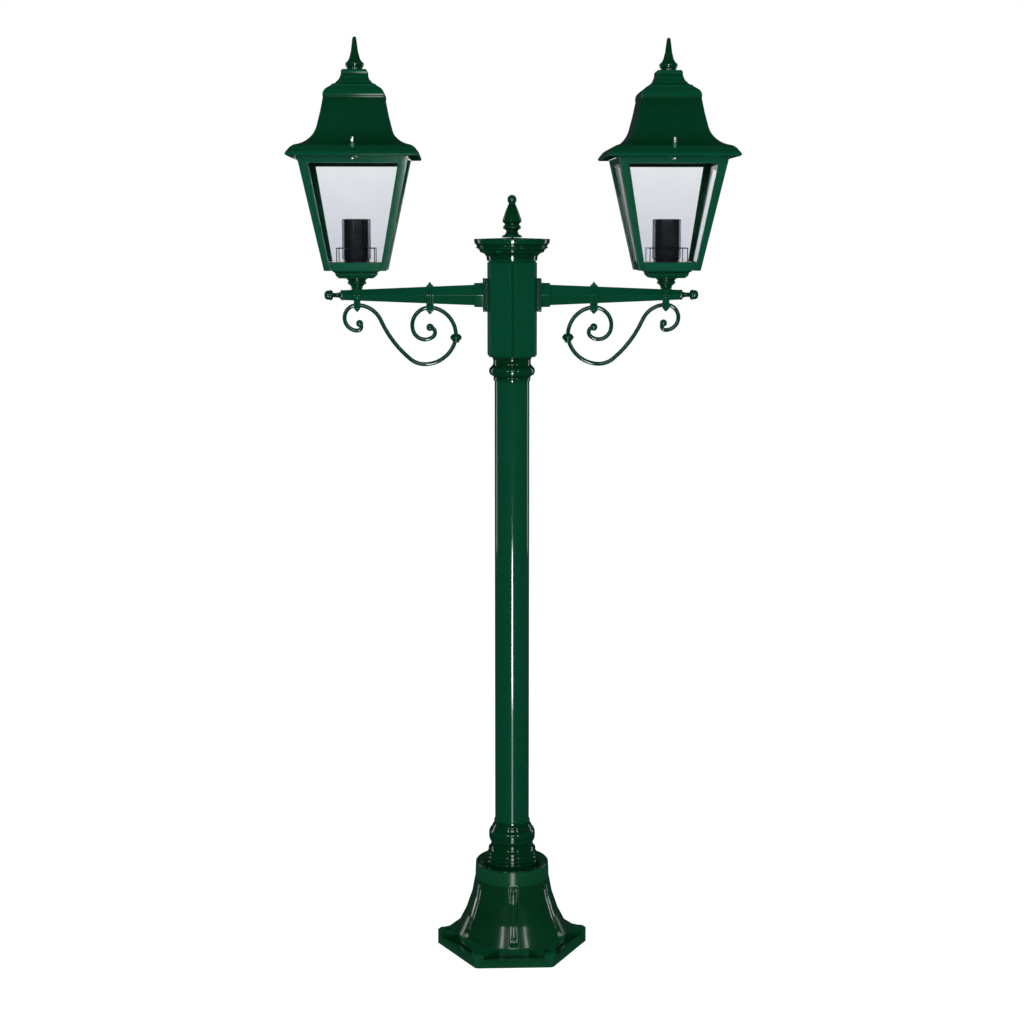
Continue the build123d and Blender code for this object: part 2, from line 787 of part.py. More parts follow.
def lantern_frame():
    frame = frustum(lantern_foot_height, lantern_top_height, 0)
    frame -= frustum(lantern_foot_height - 1, lantern_top_height + 1, frame_wall)
    low, high = lantern_foot_height - 1, top_rail_bottom
    window = Plane.XZ * Polygon(
        (-strip_inner(low) - slip_gap, low),
        (strip_inner(low) + slip_gap, low),
        (strip_inner(high) + slip_gap, high),
        (-strip_inner(high) - slip_gap, high),
        align=None,
    )
    window = extrude(window, amount=2 * lantern_top_half, both=True)
    frame -= window
    frame -= window.rotate(Axis.Z, 90)
    opening = 2 * frame_inner(top_rail_bottom) - 16
    lip = frustum(lantern_top_height - lip_thickness, lantern_top_height, frame_wall / 2)
    frame += lip - Pos(0, 0, lantern_top_height) * Box(opening, opening, 4 * lip_thickness)
    near, far = frame_half(lantern_top_height) - frame_wall, roof_screw_reach + 5
    for side in (0, 180):
        lug = Pos(0, -(near + far) / 2, lantern_top_height - lug_thickness / 2)
        lug = lug * Box(lug_width, far - near, lug_thickness)
        lug -= Pos(0, -roof_screw_reach, lantern_top_height) * Cylinder(roof_screw_radius, 20)
        frame += lug.rotate(Axis.Z, side)
    return frame


def glass_panes():
    foot = gallery_top_height + 0.4
    top = lantern_top_height - lip_thickness - 1
    inset = frame_wall + glass_clearance
    shell = frustum(foot, top, inset) - frustum(foot - 1, top + 1, inset + glass_thickness)
    group = []
    for turn in range(4):
        cut = Plane.XZ * Polygon(
            (glass_edge_gap - frame_half(foot - 1), foot - 1),
            (frame_half(foot - 1) - glass_edge_gap, foot - 1),
            (frame_half(top + 1) - glass_edge_gap - 3, top + 1),
            (glass_edge_gap + 3 - frame_half(top + 1), top + 1),
            align=None,
        )
        trim = extrude(cut, amount=200)
        trim &= Pos(0, -150, gallery_top_height) * Box(400, 240, 800)
        pane = shell & trim
        group.append(max(pane.solids(), key=lambda solid: solid.volume).rotate(Axis.Z, 90 * turn))
    return Compound(children=group)


def holder_clip():
    # a sprung wire loop round the shroud, on four legs that stand on the gallery
    half = clip_half
    path = Pos(0, 0, clip_height) * RectangleRounded(2 * half, 2 * half, clip_corner_radius).wire()
    section = Plane(origin=path @ 0, z_dir=path % 0) * Circle(clip_wire_radius)
    wire = sweep(section, path=path)
    corner = half - clip_corner_radius + clip_corner_radius / sqrt(2)
    for turn in range(4):
        leg = Pos(corner, corner, 0) * prism(Circle(clip_wire_radius), gallery_top_height, clip_height)
        wire += leg.rotate(Axis.Z, 90 * turn)
    return wire


def lamp_holder():
    foot = gallery_top_height
    plate = prism(Circle(holder_plate_radius), foot, foot + holder_plate_thickness)
    plate = fillet(plate.faces().sort_by(Axis.Z)[-1].edges(), 1.5)
    core = prism(Circle(shell_radius + shell_wall + 2.5), foot, shell_top_height - shell_length + 2)
    holder = plate + core
    return holder - prism(Circle(pivot_bore_radius), foot - 1, foot + 4)


def lamp_shroud():
    foot = gallery_top_height + holder_plate_thickness
    top = shroud_top_height
    outline = [
        (shroud_radius - 1, foot),
        (shroud_radius, foot + 2),
        (shroud_radius, top - 1),
        (shroud_radius - 0.8, top),
    ]
    shroud = turned(outline, shroud_radius - shroud_wall)
    ring = Circle(shroud_radius - 1) - Circle(shell_radius + shell_wall)
    web = prism(ring, shell_top_height - 3, shell_top_height)
    return shroud + web


def lamp_shell():
    foot = shell_top_height - shell_length
    shell = prism(Circle(shell_radius + shell_wall) - Circle(shell_radius), foot + 2, shell_top_height)
    floor = prism(Circle(shell_radius + shell_wall) - Circle(8), foot + 2, foot + 3)
    return shell + floor


# ---- roof ----
def roof_outline(inset, drop):
    top = roof_top_height - drop
    return [
        (roof_eave_half - inset, roof_eave_height - drop),
        (roof_eave_half - 4.4 - inset, roof_eave_height + 7.5 - drop, -0.4),
        (roof_eave_half - 15.5 - inset, roof_eave_height + 17 - drop, -1.1),
        (61 - inset, roof_eave_height + 48 - drop, 6.6),
        (50.6 - inset, roof_eave_height + 96 - drop, 0.6),
        (43.4 - inset, top - 4, -3.2),
        (37.4 - inset, top),
    ]


def roof():
    shell = squared(roof_outline(0, 0)) - squared(roof_outline(roof_wall, roof_wall * 0.7))
    seat_top = nut_seat_height - moving_gap
    for side in (0, 180):
        seat = prism(Circle(nut_across_flats / 2 + 2), roof_eave_height + 6, seat_top)
        shell += (Pos(0, -roof_screw_reach, 0) * seat).rotate(Axis.Z, side)
    for side in (0, 180):
        hole = prism(Circle(roof_screw_radius + moving_gap), roof_eave_height - 5, seat_top + 1)
        shell -= (Pos(0, -roof_screw_reach, 0) * hole).rotate(Axis.Z, side)
    return shell


def roof_cap():
    z = roof_top_height
    outline = [
        (37.4, z),
        (32.9, z + 3),
        (28.7, z + 7, 0.4),
        (23.8, z + 14, 0.7),
        (22.4, z + 17),
        (21.9, z + 21),
        (19.8, roof_cap_height, -0.9),
    ]
    return squared(outline)


def roof_finial():
    z = roof_cap_height
    outline = [
        (13.3, z),
        (13.3, z + 3.6),
        (15.4, z + 8, -0.5),
        (15.4, z + 10.6, -0.4),
        (9.9, z + 17.7, 0.9),
        (6.8, z + 28),
        (3.6, z + 50),
        (2.6, z + 53.6, -0.3),
        (1, z + 55, -0.2),
    ]
    return turned(outline)


def roof_bolts():
    under = lantern_top_height - lug_thickness
    head = prism(Circle(4), under - 3, under)
    head = fillet(head.faces().sort_by(Axis.Z)[0].edges(), 1.2)
    bolt = head + prism(Circle(roof_screw_radius), under, nut_seat_height + nut_body_height + 1)
    bolt = Pos(0, -roof_screw_reach, 0) * bolt
    return Compound(children=[bolt, bolt.rotate(Axis.Z, 180)])


def roof_nut():
    foot = nut_seat_height
    washer = prism(Circle(nut_across_flats / 2 + 0.9), foot, foot + 0.8)
    body = prism(hexagon(nut_across_flats), foot + 0.8, foot + nut_body_height)
    top = foot + nut_body_height
    cap = prism(Circle(3), top, top + 2) + dome(3, nut_dome_height - 2, top + 2)
    nut = washer + body + cap
    nut -= prism(Circle(roof_screw_radius + running_gap), foot - 1, top + 2)
    return Pos(0, -roof_screw_reach, 0) * nut


def save_post():
    save(base_casting(), "base_casting")
    save(base_ring(), "base_ring")
    save(foot_screws(), "foot_screws")
    save(foot_collar(), "foot_collar")
    save(post_tube(), "post_tube")
    save(top_collar(), "top_collar")
    save(head_body(), "head_body")
    save(head_stud(), "head_stud")
    save(head_cap(), "head_cap")
    save(head_finial(), "head_finial")
    save(terminal_block(), "terminal_block")
    save(arm_gaskets(), "arm_gaskets")
    save(arm_nipples(), "arm_nipples")


def save_arms():
    upper, lower = scroll_lines()
    inner, outer = clamps()
    upper_rod = scroll(upper, upper_eye_radius)
    lower_rod = scroll(lower, lower_eye_radius)
    pieces = {
        "arm_socket": arm_socket(),
        "arm": arm(),
        "arm_tip": arm_tip(),
        "scroll_upper": upper_rod,
        "scroll_lower": lower_rod,
        "scroll_collar": scroll_collar() - upper_rod - lower_rod,
        "clamp_inner": inner - upper_rod,
        "clamp_outer": outer - lower_rod,
        "lamp_lead": lamp_lead(),
    }
    for name, piece in pieces.items():
        save(piece, name + "_right")
        save(piece.rotate(Axis.Z, 180), name + "_left")


def save_lanterns():
    nut = roof_nut()
    pieces = {
        "lantern_stem": lantern_stem(),
        "lantern_gallery": lantern_gallery(),
        "lantern_frame": lantern_frame(),
        "glass_panes": glass_panes(),
        "holder_clip": holder_clip(),
        "lamp_holder": lamp_holder(),
        "lamp_shroud": lamp_shroud(),
        "lamp_shell": lamp_shell(),
        "roof": roof(),
        "roof_cap": roof_cap(),
        "roof_finial": roof_finial(),
        "roof_bolts": roof_bolts(),
        "roof_nut_front": nut,
        "roof_nut_back": nut.rotate(Axis.Z, 180),
    }
    for name, piece in pieces.items():
        save(Pos(lantern_reach, 0, 0) * piece, name + "_right")
        save(Pos(-lantern_reach, 0, 0) * piece, name + "_left")


os.makedirs("parts", exist_ok=True)
save_post()
save_arms()
save_lanterns()
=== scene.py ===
import json
from math import asin, ceil, cos, degrees, hypot, pi, radians, sin, tan
import bmesh
import bpy
from mathutils import Matrix, Vector


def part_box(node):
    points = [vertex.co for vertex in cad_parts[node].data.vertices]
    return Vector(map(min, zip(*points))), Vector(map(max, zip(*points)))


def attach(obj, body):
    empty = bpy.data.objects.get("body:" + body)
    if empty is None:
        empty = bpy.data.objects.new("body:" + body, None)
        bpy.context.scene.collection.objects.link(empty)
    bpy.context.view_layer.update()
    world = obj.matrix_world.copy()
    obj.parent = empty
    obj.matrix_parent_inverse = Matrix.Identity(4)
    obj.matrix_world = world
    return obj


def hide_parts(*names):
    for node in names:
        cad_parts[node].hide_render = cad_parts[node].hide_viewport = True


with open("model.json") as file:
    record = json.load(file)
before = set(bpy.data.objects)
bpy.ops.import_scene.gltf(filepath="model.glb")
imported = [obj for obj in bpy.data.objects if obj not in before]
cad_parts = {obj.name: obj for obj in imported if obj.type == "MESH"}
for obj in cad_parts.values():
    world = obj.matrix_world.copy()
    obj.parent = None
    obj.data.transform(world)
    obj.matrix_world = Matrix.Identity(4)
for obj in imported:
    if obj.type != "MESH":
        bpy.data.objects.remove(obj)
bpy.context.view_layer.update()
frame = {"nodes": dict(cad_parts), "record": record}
scene = bpy.context.scene
mm = 0.001
sides = {"left": -1, "right": 1}

# materials
paint = {
    "coat": 1.0, "ior": 1.5, "underShine": 0.015, "roughLow": 0.24, "roughHigh": 0.34, "tintScale": 9,
    "smearScale": 26, "peelScale": 420, "peelDepth": 0.01, "waveScale": 30,
}
# in both greens, edge is a lighter green laid along the pieces' edges as a painted highlight
smoothGreen = {"deep": (0.0, 0.0162, 0.0048, 1), "light": (0.0, 0.0202, 0.0066, 1), "edge": (0.001, 0.045, 0.022, 1),
               "waveDepth": 0.16, "coatRoughness": 0.07}
castGreen = {"deep": (0.0001, 0.019, 0.0056, 1), "light": (0.0004, 0.027, 0.0084, 1), "edge": (0.003, 0.055, 0.024, 1),
             "waveDepth": 0.12, "coatRoughness": 0.17}
# footTone is a darker colour that each pane takes towards its foot
clearPane = {"ior": 1.45, "clean": (0.95, 0.958, 0.972, 1), "dull": (0.9, 0.915, 0.94, 1),
             "footTone": (0.8, 0.815, 0.86, 1), "toneFoot": 1.21, "toneTop": 1.37, "roughness": 0.02, "rippleScale": 18,
             "rippleDepth": 0.1}


def startMaterial(name, **constants):
    mat = bpy.data.materials.new(name)
    mat.use_nodes = True
    tree = mat.node_tree
    shader = tree.nodes["Principled BSDF"]
    for socket, value in constants.items():
        shader.inputs[socket.replace("_", " ")].default_value = value
    place = tree.nodes.new("ShaderNodeTexCoord").outputs["Object"]
    return mat, tree, shader, place


def addNoise(tree, place, scale, detail=3, stretch=None):
    noise = tree.nodes.new("ShaderNodeTexNoise")
    noise.inputs["Scale"].default_value = scale
    noise.inputs["Detail"].default_value = detail
    if stretch:
        mapping = tree.nodes.new("ShaderNodeMapping")
        mapping.inputs["Scale"].default_value = stretch
        tree.links.new(place, mapping.inputs["Vector"])
        place = mapping.outputs["Vector"]
    tree.links.new(place, noise.inputs["Vector"])
    return noise.outputs["Fac"]


def addRamp(tree, fac, low, high, start=0.35, end=0.65):
    ramp = tree.nodes.new("ShaderNodeValToRGB")
    ramp.color_ramp.elements[0].position = start
    ramp.color_ramp.elements[0].color = low
    ramp.color_ramp.elements[1].position = end
    ramp.color_ramp.elements[1].color = high
    tree.links.new(fac, ramp.inputs["Fac"])
    return ramp.outputs["Color"]


def addRange(tree, fac, low, high, start=0.3, end=0.7):
    spread = tree.nodes.new("ShaderNodeMapRange")
    spread.inputs["From Min"].default_value = start
    spread.inputs["From Max"].default_value = end
    spread.inputs["To Min"].default_value = low
    spread.inputs["To Max"].default_value = high
    tree.links.new(fac, spread.inputs["Value"])
    return spread.outputs["Result"]


def addMix(tree, fac, first, second):
    mix = tree.nodes.new("ShaderNodeMix")
    mix.data_type = "RGBA"
    tree.links.new(fac, mix.inputs["Factor"])
    tree.links.new(first, mix.inputs["A"])
    if isinstance(second, tuple):
        mix.inputs["B"].default_value = second
    else:
        tree.links.new(second, mix.inputs["B"])
    return mix.outputs["Result"]


def addBumps(tree, shader, layers):
    # each layer is a height and its depth in millimetres
    normal = None
    for height, depth in layers:
        bump = tree.nodes.new("ShaderNodeBump")
        bump.inputs["Strength"].default_value = 1.0
        bump.inputs["Distance"].default_value = depth * mm
        tree.links.new(height, bump.inputs["Height"])
        if normal:
            tree.links.new(normal, bump.inputs["Normal"])
        normal = bump.outputs["Normal"]
    tree.links.new(normal, shader.inputs["Normal"])


# where the mesh is pointy; it places the painted highlight along the paint's edges
def edgeMask(tree, start=0.505, end=0.56):
    return addRange(tree, tree.nodes.new("ShaderNodeNewGeometry").outputs["Pointiness"], 0, 1, start, end)


def makePaint(name, look):
    mat, tree, shader, place = startMaterial(
        name, Coat_Weight=paint["coat"], Coat_Roughness=look["coatRoughness"], IOR=paint["ior"],
        Specular_IOR_Level=paint["underShine"])
    tint = addRamp(tree, addNoise(tree, place, paint["tintScale"], 4), look["deep"], look["light"])
    # the edge colour is a painted highlight along the edges, not wear
    paintedEdgeHighlight = addMix(tree, edgeMask(tree), tint, look["edge"])
    tree.links.new(paintedEdgeHighlight, shader.inputs["Base Color"])
    smear = addNoise(tree, place, paint["smearScale"], 5)
    tree.links.new(addRange(tree, smear, paint["roughLow"], paint["roughHigh"]), shader.inputs["Roughness"])
    addBumps(tree, shader, [
        (addNoise(tree, place, paint["waveScale"], 2), look["waveDepth"]),
        (addNoise(tree, place, paint["peelScale"], 2), paint["peelDepth"]),
    ])
    return mat


def makeSteel():
    mat, tree, shader, place = startMaterial("brightSteel", Metallic=1.0, Anisotropic=0.3)
    grain = addNoise(tree, place, 900, 2, (1, 1, 0.15))
    tree.links.new(addRamp(tree, grain, (0.52, 0.52, 0.54, 1), (0.78, 0.78, 0.8, 1)), shader.inputs["Base Color"])
    tree.links.new(addRange(tree, addNoise(tree, place, 300), 0.14, 0.3), shader.inputs["Roughness"])
    addBumps(tree, shader, [(grain, 0.01)])
    return mat


def makeBrass():
    mat, tree, shader, place = startMaterial("shellBrass", Metallic=1.0)
    tarnish = addNoise(tree, place, 120, 4)
    tree.links.new(addRamp(tree, tarnish, (0.5, 0.34, 0.14, 1), (0.78, 0.6, 0.3, 1)), shader.inputs["Base Color"])
    tree.links.new(addRange(tree, tarnish, 0.4, 0.2), shader.inputs["Roughness"])
    addBumps(tree, shader, [(addNoise(tree, place, 800, 2), 0.01)])
    return mat


def makePlain(name, low, high, roughLow, roughHigh, grainScale, grainDepth, **constants):
    mat, tree, shader, place = startMaterial(name, **constants)
    tree.links.new(addRamp(tree, addNoise(tree, place, 60, 4), low, high), shader.inputs["Base Color"])
    rough = addRange(tree, addNoise(tree, place, 140, 4), roughLow, roughHigh)
    tree.links.new(rough, shader.inputs["Roughness"])
    addBumps(tree, shader, [(addNoise(tree, place, grainScale, 3), grainDepth)])
    return mat


def makeGlass():
    pane = clearPane
    mat, tree, shader, place = startMaterial("clearGlass", Transmission_Weight=1.0, IOR=pane["ior"])
    haze = addNoise(tree, place, 14, 3)
    tint = addRamp(tree, haze, pane["dull"], pane["clean"])
    height = tree.nodes.new("ShaderNodeSeparateXYZ")
    tree.links.new(place, height.inputs[0])
    nearFoot = addRange(tree, height.outputs["Z"], 1, 0, pane["toneFoot"], pane["toneTop"])   # the pane is darker towards its foot
    tree.links.new(addMix(tree, nearFoot, tint, pane["footTone"]), shader.inputs["Base Color"])
    tree.links.new(addRange(tree, haze, 0.0, pane["roughness"]), shader.inputs["Roughness"])
    addBumps(tree, shader, [(addNoise(tree, place, pane["rippleScale"], 2), pane["rippleDepth"])])
    return mat


finishes = {
    "green_paint": makePaint("glossGreen", smoothGreen),
    "bright_steel": makeSteel(),
    "shell_brass": makeBrass(),
    "clear_glass": makeGlass(),
    "black_plastic": makePlain("blackPlastic", (0.004, 0.004, 0.005, 1), (0.009, 0.009, 0.011, 1), 0.08, 0.16, 700,
                               0.01, Coat_Weight=0.3, Coat_Roughness=0.05),
    "cream_plastic": makePlain("creamPlastic", (0.6, 0.57, 0.47, 1), (0.72, 0.7, 0.62, 1), 0.4, 0.55, 900, 0.02),
    "lead_sheath": makePlain("leadSheath", (0.012, 0.012, 0.012, 1), (0.03, 0.03, 0.03, 1), 0.4, 0.6, 900, 0.02),
    "black_rubber": makePlain("blackRubber", (0.006, 0.006, 0.006, 1), (0.016, 0.016, 0.017, 1), 0.6, 0.8, 1400,
                              0.04),
}
wireSteel = makePlain("wireSteel", (0.02, 0.021, 0.024, 1), (0.06, 0.06, 0.066, 1), 0.25, 0.4, 900, 0.01,
                      Metallic=1.0)
castPaint = makePaint("castGreen", castGreen)
for record in frame["record"]["subparts"]:
    node = frame["nodes"][record["node"]]
    node.data.materials.clear()
    node.data.materials.append(finishes[record["material_slot"]])
print("materials made:", len(finishes) + 2)


# shaping helpers
def drawOutline(bm, points):
    # (radius, height) in millimetres, a third number bulges the run that ends there to the left
    vert = bm.verts.new((points[0][0] * mm, 0, points[0][1] * mm))
    for point in points[1:]:
        end = Vector((point[0] * mm, 0, point[1] * mm))
        if len(point) == 3:
            run = end - vert.co
            turn = 1 if point[2] > 0 else -1
            bulge = abs(point[2]) * mm
            reach = (run.length ** 2 / 4 + bulge ** 2) / (2 * bulge)
            left = Vector((-run.z, 0, run.x)).normalized() * turn
            centre = (vert.co + end) / 2 + left * (bulge - reach)
            angle = 2 * asin(min(1, run.length / 2 / reach)) * turn
            made = bmesh.ops.spin(bm, geom=[vert], cent=centre, axis=(0, 1, 0), angle=angle,
                                  steps=max(2, ceil(abs(degrees(angle)) / 9)))
            vert = [item for item in made["geom_last"] if isinstance(item, bmesh.types.BMVert)][0]
        else:
            vert = bmesh.ops.extrude_vert_indiv(bm, verts=[vert])["verts"][0]
        vert.co = end
    return vert


def closeAndTurnOut(bm):
    bmesh.ops.remove_doubles(bm, verts=bm.verts, dist=0.004 * mm)
    gaps = [edge for edge in bm.edges if edge.is_boundary]
    if gaps:
        bmesh.ops.holes_fill(bm, edges=gaps, sides=0)
    bmesh.ops.recalc_face_normals(bm, faces=bm.faces)


def softenEdges(bm, width, minAngle=30, segments=2, chosen=None):
    edges = [edge for edge in bm.edges
             if len(edge.link_faces) == 2 and edge.calc_face_angle() > radians(minAngle)
             and (chosen is None or chosen(edge))]
    if edges:
        bmesh.ops.bevel(bm, geom=edges, offset=width * mm, offset_type="OFFSET", segments=segments, profile=0.5,
                        affect="EDGES", clamp_overlap=True, material=-1)


def turnOutline(points, steps=96, soft=0.3, ring=False, facing=0):
    # few steps give a square or hexagonal piece whose flats stand at the outline's distance
    bm = bmesh.new()
    last = drawOutline(bm, points)
    if ring:
        bm.verts.ensure_lookup_table()
        bm.edges.new((last, bm.verts[0]))
    if steps < 12:
        bmesh.ops.scale(bm, vec=(1 / cos(pi / steps), 1, 1), verts=bm.verts)
    bmesh.ops.rotate(bm, verts=bm.verts, cent=(0, 0, 0), matrix=Matrix.Rotation(radians(facing), 3, "Z"))
    bmesh.ops.spin(bm, geom=bm.verts[:] + bm.edges[:], cent=(0, 0, 0), axis=(0, 0, 1), angle=2 * pi, steps=steps,
                   use_merge=True)
    closeAndTurnOut(bm)
    if soft:
        softenEdges(bm, soft)
    return bm


def moveBy(bm, x=0, y=0, z=0):
    bmesh.ops.translate(bm, verts=bm.verts, vec=(x * mm, y * mm, z * mm))
    return bm


def turnBy(bm, angle, axis="Z"):
    bmesh.ops.rotate(bm, verts=bm.verts, cent=(0, 0, 0), matrix=Matrix.Rotation(radians(angle), 3, axis))
    return bm


def joinAll(first, *others):
    for other in others:
        mesh = bpy.data.meshes.new("joined")
        other.to_mesh(mesh)
        first.from_mesh(mesh)
        bpy.data.meshes.remove(mesh)
        other.free()
    return first


def block(x, y, z, soft, segments=2):
    # a box about the origin
    bm = bmesh.new()
    bmesh.ops.create_cube(bm, size=mm)
    bmesh.ops.scale(bm, vec=(x, y, z), verts=bm.verts)
    softenEdges(bm, soft, segments=segments)
    return bm


def prismFrom(corners, bottom, top, cornerRadius=0.0):
    # an upright prism over a flat outline of (x, y) corners
    bm = bmesh.new()
    face = bm.faces.new([bm.verts.new((x * mm, y * mm, bottom * mm)) for x, y in corners])
    if cornerRadius:
        bmesh.ops.bevel(bm, geom=bm.verts[:], offset=cornerRadius * mm, offset_type="OFFSET", segments=6,
                        profile=0.5, affect="VERTICES", clamp_overlap=True, material=-1)
        bm.faces.ensure_lookup_table()
        face = max(bm.faces, key=lambda item: item.calc_area())
    made = bmesh.ops.extrude_face_region(bm, geom=[face])
    moved = [item for item in made["geom"] if isinstance(item, bmesh.types.BMVert)]
    bmesh.ops.translate(bm, verts=moved, vec=(0, 0, (top - bottom) * mm))
    bmesh.ops.recalc_face_normals(bm, faces=bm.faces)
    return bm


def asObject(bm, name):
    mesh = bpy.data.meshes.new(name)
    bm.to_mesh(mesh)
    bm.free()
    obj = bpy.data.objects.new(name, mesh)
    scene.collection.objects.link(obj)
    return obj


def cutAway(bm, tool):
    body, cutter = asObject(bm, "body"), asObject(tool, "cutter")
    modifier = body.modifiers.new("cut", "BOOLEAN")
    modifier.operation, modifier.solver, modifier.object = "DIFFERENCE", "EXACT", cutter
    result = bmesh.new()
    result.from_object(body, bpy.context.evaluated_depsgraph_get())
    for obj in (body, cutter):
        mesh = obj.data
        bpy.data.objects.remove(obj)
        bpy.data.meshes.remove(mesh)
    bmesh.ops.remove_doubles(result, verts=result.verts, dist=0.002 * mm)
    bmesh.ops.recalc_face_normals(result, faces=result.faces)
    return result


def finishPiece(bm, name, slotName, body, *nodes, material=None, sharpAngle=38):
    for face in bm.faces:
        face.smooth = True
    for edge in bm.edges:
        edge.smooth = len(edge.link_faces) != 2 or edge.calc_face_angle() < radians(sharpAngle)
    obj = asObject(bm, name)
    obj.data.materials.append(material or finishes[slotName])
    weighted = obj.modifiers.new("weightedNormals", "WEIGHTED_NORMAL")
    weighted.keep_sharp = True
    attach(obj, body)
    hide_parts(*nodes)
    return obj


# base
base = {
    "acrossFlats": 232, "cornerRadius": 8, "padHeight": 24, "rimHeight": 15.5, "trayHeight": 12, "rimWidth": 5,
    "trayOuterHalf": 49, "trayInnerHalf": 25, "footRadius": 100, "footHeight": 28, "neckRadius": 60.9,
    "bellTopRadius": 64.7, "bellTopHeight": 129, "bellHollow": 5.7, "shelfHeight": 137, "soft": 1.1,
    "anchorCircle": 115, "anchorRadius": 5, "screwAngles": (60, 180, 300), "columns": 360, "rows": 11,
    "closeHalf": 10.5, "closeShare": 0.62,
}
flute = {"half": 7.5, "depth": 3.4, "foot": 32, "top": 118, "edge": 1.7, "beadHalf": 2.3, "beadFoot": 41,
         "beadTop": 114, "beadEdge": 1.5, "beadHeight": 2.3, "beadNarrowing": 0.12, "dropRadius": 3.4, "splay": 2.6,
         "splayRise": 7, "splayLean": 0.9}


def ease(share):
    return share * share * (3 - 2 * share)


def fluteDepth(across, height):
    # how far the bell's surface is sunk at a place beside the flute's middle line
    if height > flute["top"]:
        outside = hypot(across, height - flute["top"]) - flute["half"]
    else:
        outside = max(abs(across) - flute["half"], flute["foot"] - height)
    sunk = min(1, max(0, 0.5 - outside / flute["edge"]))
    splay = flute["splay"] * min(1, max(0, (flute["beadFoot"] + flute["splayRise"] - height) / flute["splayRise"]))
    beadHalf = flute["beadHalf"] * (1 - flute["beadNarrowing"] * splay)
    bead = max(abs(abs(across) - splay * flute["splayLean"]) - beadHalf, flute["beadFoot"] - height,
               height - flute["beadTop"])
    bead = min(bead, hypot(across, height - flute["beadTop"]) - flute["dropRadius"])
    raised = min(1, max(0, 0.5 - bead / flute["beadEdge"]))
    return flute["depth"] * ease(sunk) - flute["beadHeight"] * ease(raised)


def makeBell():
    bm = bmesh.new()
    drawOutline(bm, [
        (base["footRadius"] - 3, 14), (base["footRadius"] - 1.2, 14), (base["footRadius"], 16),
        (base["footRadius"], base["footHeight"] - 1.6), (base["footRadius"] - 0.8, base["footHeight"]),
        (base["bellTopRadius"], base["bellTopHeight"], base["bellHollow"]),
        (base["neckRadius"], base["bellTopHeight"] + 0.2), (base["neckRadius"], base["shelfHeight"]),
        (44, base["shelfHeight"]),
    ])
    fluted = [edge for edge in bm.edges if base["footHeight"] * mm <= min(vert.co.z for vert in edge.verts)
              and max(vert.co.z for vert in edge.verts) <= (base["bellTopHeight"] + 0.05) * mm
              and edge.calc_length() > 2 * mm]
    bmesh.ops.subdivide_edges(bm, edges=fluted, cuts=base["rows"])
    bmesh.ops.spin(bm, geom=bm.verts[:] + bm.edges[:], cent=(0, 0, 0), axis=(0, 0, 1), angle=2 * pi,
                   steps=base["columns"], use_merge=True)
    bmesh.ops.remove_doubles(bm, verts=bm.verts, dist=0.01 * mm)
    bmesh.ops.recalc_face_normals(bm, faces=bm.faces)
    near, share = base["closeHalf"], base["closeShare"]   # the columns crowd together across each flute
    for vert in bm.verts:
        radius, height = hypot(vert.co.x, vert.co.y) / mm, vert.co.z / mm
        turn = degrees(Vector((vert.co.x, vert.co.y)).angle_signed(Vector((0, -1)), 0))
        sector = round(turn / 60) * 60
        aside = (turn - sector) / 30
        far = radius * radians(30)
        if abs(aside) < share:
            across = aside / share * near
        else:
            across = (near + (abs(aside) - share) / (1 - share) * (far - near)) * (1 if aside > 0 else -1)
        sunk = fluteDepth(across, height) if base["footHeight"] < height < base["bellTopHeight"] else 0
        angle = radians(sector) + across / radius
        vert.co.x = (radius - sunk) * mm * sin(angle)
        vert.co.y = -(radius - sunk) * mm * cos(angle)
    gaps = [edge for edge in bm.edges if edge.is_boundary]
    bmesh.ops.holes_fill(bm, edges=gaps, sides=0)
    bmesh.ops.recalc_face_normals(bm, faces=bm.faces)
    return bm


def makeFlange():
    reach = base["acrossFlats"] / 2
    corner = reach / cos(pi / 6)
    corners = [(corner * cos(radians(60 * turn)), corner * sin(radians(60 * turn))) for turn in range(6)]
    bm = prismFrom(corners, 0, base["padHeight"], cornerRadius=base["cornerRadius"] * tan(pi / 6))
    out, back = base["rimWidth"] - reach, 4 - base["footRadius"]
    wide, narrow = base["trayOuterHalf"], base["trayInnerHalf"]
    for turn in range(6):
        tray = prismFrom([(-narrow, back), (-wide, out), (wide, out), (narrow, back)],
                         base["trayHeight"], base["padHeight"] + 5)
        rim = prismFrom([(-wide, out + 0.4), (-wide - 4.4, -reach - 1), (wide + 4.4, -reach - 1), (wide, out + 0.4)],
                        base["rimHeight"], base["padHeight"] + 5)
        bm = cutAway(bm, turnBy(tray, 60 * turn))
        bm = cutAway(bm, turnBy(rim, 60 * turn))
    for angle in base["screwAngles"]:
        hole = turnOutline([(base["anchorRadius"], -1), (base["anchorRadius"], 30)], 32, 0)
        bm = cutAway(bm, turnBy(moveBy(hole, base["anchorCircle"]), angle))
    bmesh.ops.dissolve_limit(bm, angle_limit=radians(1), verts=bm.verts, edges=bm.edges)
    softenEdges(bm, base["soft"], minAngle=25, segments=3)
    return bm


finishPiece(joinAll(makeFlange(), makeBell()), "baseCasting", "green_paint", "post", "base_casting",
            material=castPaint)

coverRing = {"outer": 65.3, "top": 64.3, "height": 153, "hole": 47, "innerHeight": 145, "foot": 129.3,
             "screwCircle": 54.4, "recess": 6.5, "seat": 2.6}


def screwSeat():
    # how high the screws' heads sit in the sloping ring
    slope = (coverRing["height"] - coverRing["innerHeight"]) / (coverRing["top"] - coverRing["hole"])
    return coverRing["innerHeight"] + (coverRing["screwCircle"] - coverRing["hole"]) * slope - coverRing["seat"]


